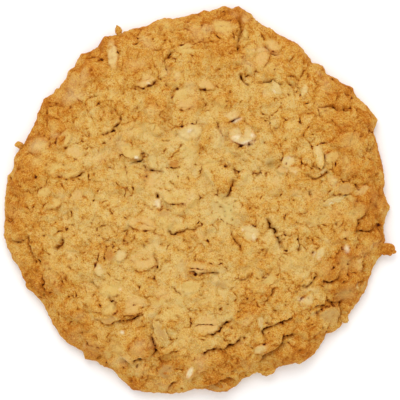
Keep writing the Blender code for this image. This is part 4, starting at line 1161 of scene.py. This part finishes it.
def crack_shade_lines(tree, where):
    """How dark the cracks' and pits' painted shade and the specks are, with ragged edges."""
    speck = times(tree, spots(tree, where, *SPECK_SPOTS), SPECK_DARKNESS)
    crack = times(tree, layer(tree, "crack")["Fac"], CRACK_SHADE_DARKNESS)
    crack = add(tree, "ShaderNodeMath", {"operation": "MAXIMUM"}, _0=crack, _1=speck).outputs[0]
    crack = times(tree, crack, 1.0, RAGGED_OFFSET)
    return times(tree, spots(tree, where, *RAGGED_SPOTS), RAGGEDNESS, crack)


def fine_bump(tree, where, crack):
    """The crust's finest grain, sunk where the cracks are."""
    texture = {
        "Scale": 1 / (FINE_GRAIN_SIZE * MM),
        "Detail": FINE_GRAIN_DETAIL,
        "Roughness": FINE_GRAIN_ROUGHNESS,
    }
    grain = add(tree, "ShaderNodeTexNoise", Vector=where, **texture)
    height = times(tree, crack, CRACK_BUMP, grain.outputs["Fac"])
    depth = FINE_GRAIN_HEIGHT * MM
    return add(tree, "ShaderNodeBump", Height=height, Strength=FINE_GRAIN_STRENGTH, Distance=depth)


def crust_material():
    """Baked dough with pale oats under its skin, browned crests, painted highlights on flakes and painted
    shade in cracks, pits and hollows.
    """
    material = bpy.data.materials.new("baked_crust")
    material.use_nodes = True
    tree = material.node_tree
    shader = tree.nodes["Principled BSDF"]
    where = add(tree, "ShaderNodeTexCoord").outputs["Object"]

    colour = dough_colour(tree, where)
    oat_share = times(tree, layer(tree, "oat")["Fac"], spots(tree, where, *OAT_SPOTS))
    colour = blend(tree, oat_share, colour, layer(tree, "oat_colour")["Color"])
    under = ramp(tree, spots(tree, where, *UNDERSIDE_SPOTS), UNDERSIDE_COLOURS)
    colour = blend(tree, layer(tree, "underside")["Fac"], colour, under)
    crack = crack_shade_lines(tree, where)
    # The painted shade of the cracks, pits and flake edges goes over everything.
    colour = blend(tree, ramp(tree, crack, CRACK_SHADE_COVER), colour, ramp(tree, crack, CRACK_SHADE_COLOURS))
    tree.links.new(colour, shader.inputs["Base Color"])

    roughness = times(tree, spots(tree, where, *SHEEN_SPOTS), *CRUST_ROUGHNESS)
    tree.links.new(roughness, shader.inputs["Roughness"])
    shader.inputs["Specular IOR Level"].default_value = CRUST_SPECULAR
    shader.inputs["Subsurface Weight"].default_value = GLOW_SHARE
    shader.inputs["Subsurface Radius"].default_value = GLOW_RADIUS
    shader.inputs["Subsurface Scale"].default_value = GLOW_REACH * MM
    tree.links.new(fine_bump(tree, where, crack).outputs["Normal"], shader.inputs["Normal"])
    return material


def floor_material():
    """Plain and pale."""
    material = bpy.data.materials.new("floor")
    material.use_nodes = True
    shader = material.node_tree.nodes["Principled BSDF"]
    shader.inputs["Base Color"].default_value = (*linear(FLOOR_COLOUR), 1)
    shader.inputs["Roughness"].default_value = FLOOR_ROUGHNESS
    return material


def lay_floor():
    """The pale floor that the cookie lies on."""
    bpy.ops.mesh.primitive_circle_add(vertices=FLOOR_CORNERS, radius=FLOOR_RADIUS, fill_type="NGON")
    floor = bpy.context.object
    floor.name = "floor"
    floor.data.materials.append(floor_material())


def light():
    """White light from all round, and one soft lamp towards the top of the page."""
    world = bpy.data.worlds.new("studio")
    bpy.context.scene.world = world
    world.use_nodes = True
    backdrop = world.node_tree.nodes["Background"]
    backdrop.inputs["Color"].default_value = (1, 1, 1, 1)
    backdrop.inputs["Strength"].default_value = WORLD_STRENGTH

    lamp = bpy.data.lights.new("key", "AREA")
    lamp.size = KEY_SIZE
    lamp.energy = KEY_WATTS
    key = bpy.data.objects.new("key", lamp)
    bpy.context.scene.collection.objects.link(key)
    out, up = unit(KEY_ELEVATION)
    x, y = unit(KEY_AZIMUTH)
    towards = Vector((out * x, out * y, up))
    key.location = towards * KEY_DISTANCE
    key.rotation_euler = towards.to_track_quat("Z", "Y").to_euler()


def place_camera():
    """The camera straight above, far enough to see the cookie almost without perspective."""
    camera = bpy.data.objects.new("camera", bpy.data.cameras.new("camera"))
    bpy.context.scene.collection.objects.link(camera)
    camera.location = (0, 0, FRAMED_HEIGHT + CAMERA_DISTANCE)
    camera.data.sensor_width = SENSOR
    camera.data.lens = SENSOR * CAMERA_DISTANCE / PHOTO_WIDTH
    camera.data.clip_start = NEAREST_SEEN
    bpy.context.scene.camera = camera
    bpy.context.scene.view_settings.view_transform = "Standard"


def main():
    noise.seed_set(SEED)
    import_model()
    lay_floor()
    light()
    place_camera()

    crust = crust_piece()
    dough = BVHTree.FromObject(crust, bpy.context.evaluated_depsgraph_get())
    flakes = [standing_flake(dough, i, *flake) for i, flake in enumerate(STANDING_FLAKES)]
    oat_flakes = joined("oat_flakes", flakes)
    crumbs = [edge_crumb(i, *crumb) for i, crumb in enumerate(EDGE_CRUMBS)]
    made = [crust, oat_flakes, joined("edge_crumbs", crumbs)]
    fit_to_solid(made)
    material = crust_material()
    for piece in made:
        piece.data.materials.clear()
        piece.data.materials.append(material)
        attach(piece, "root")
    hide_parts("cookie")


main()
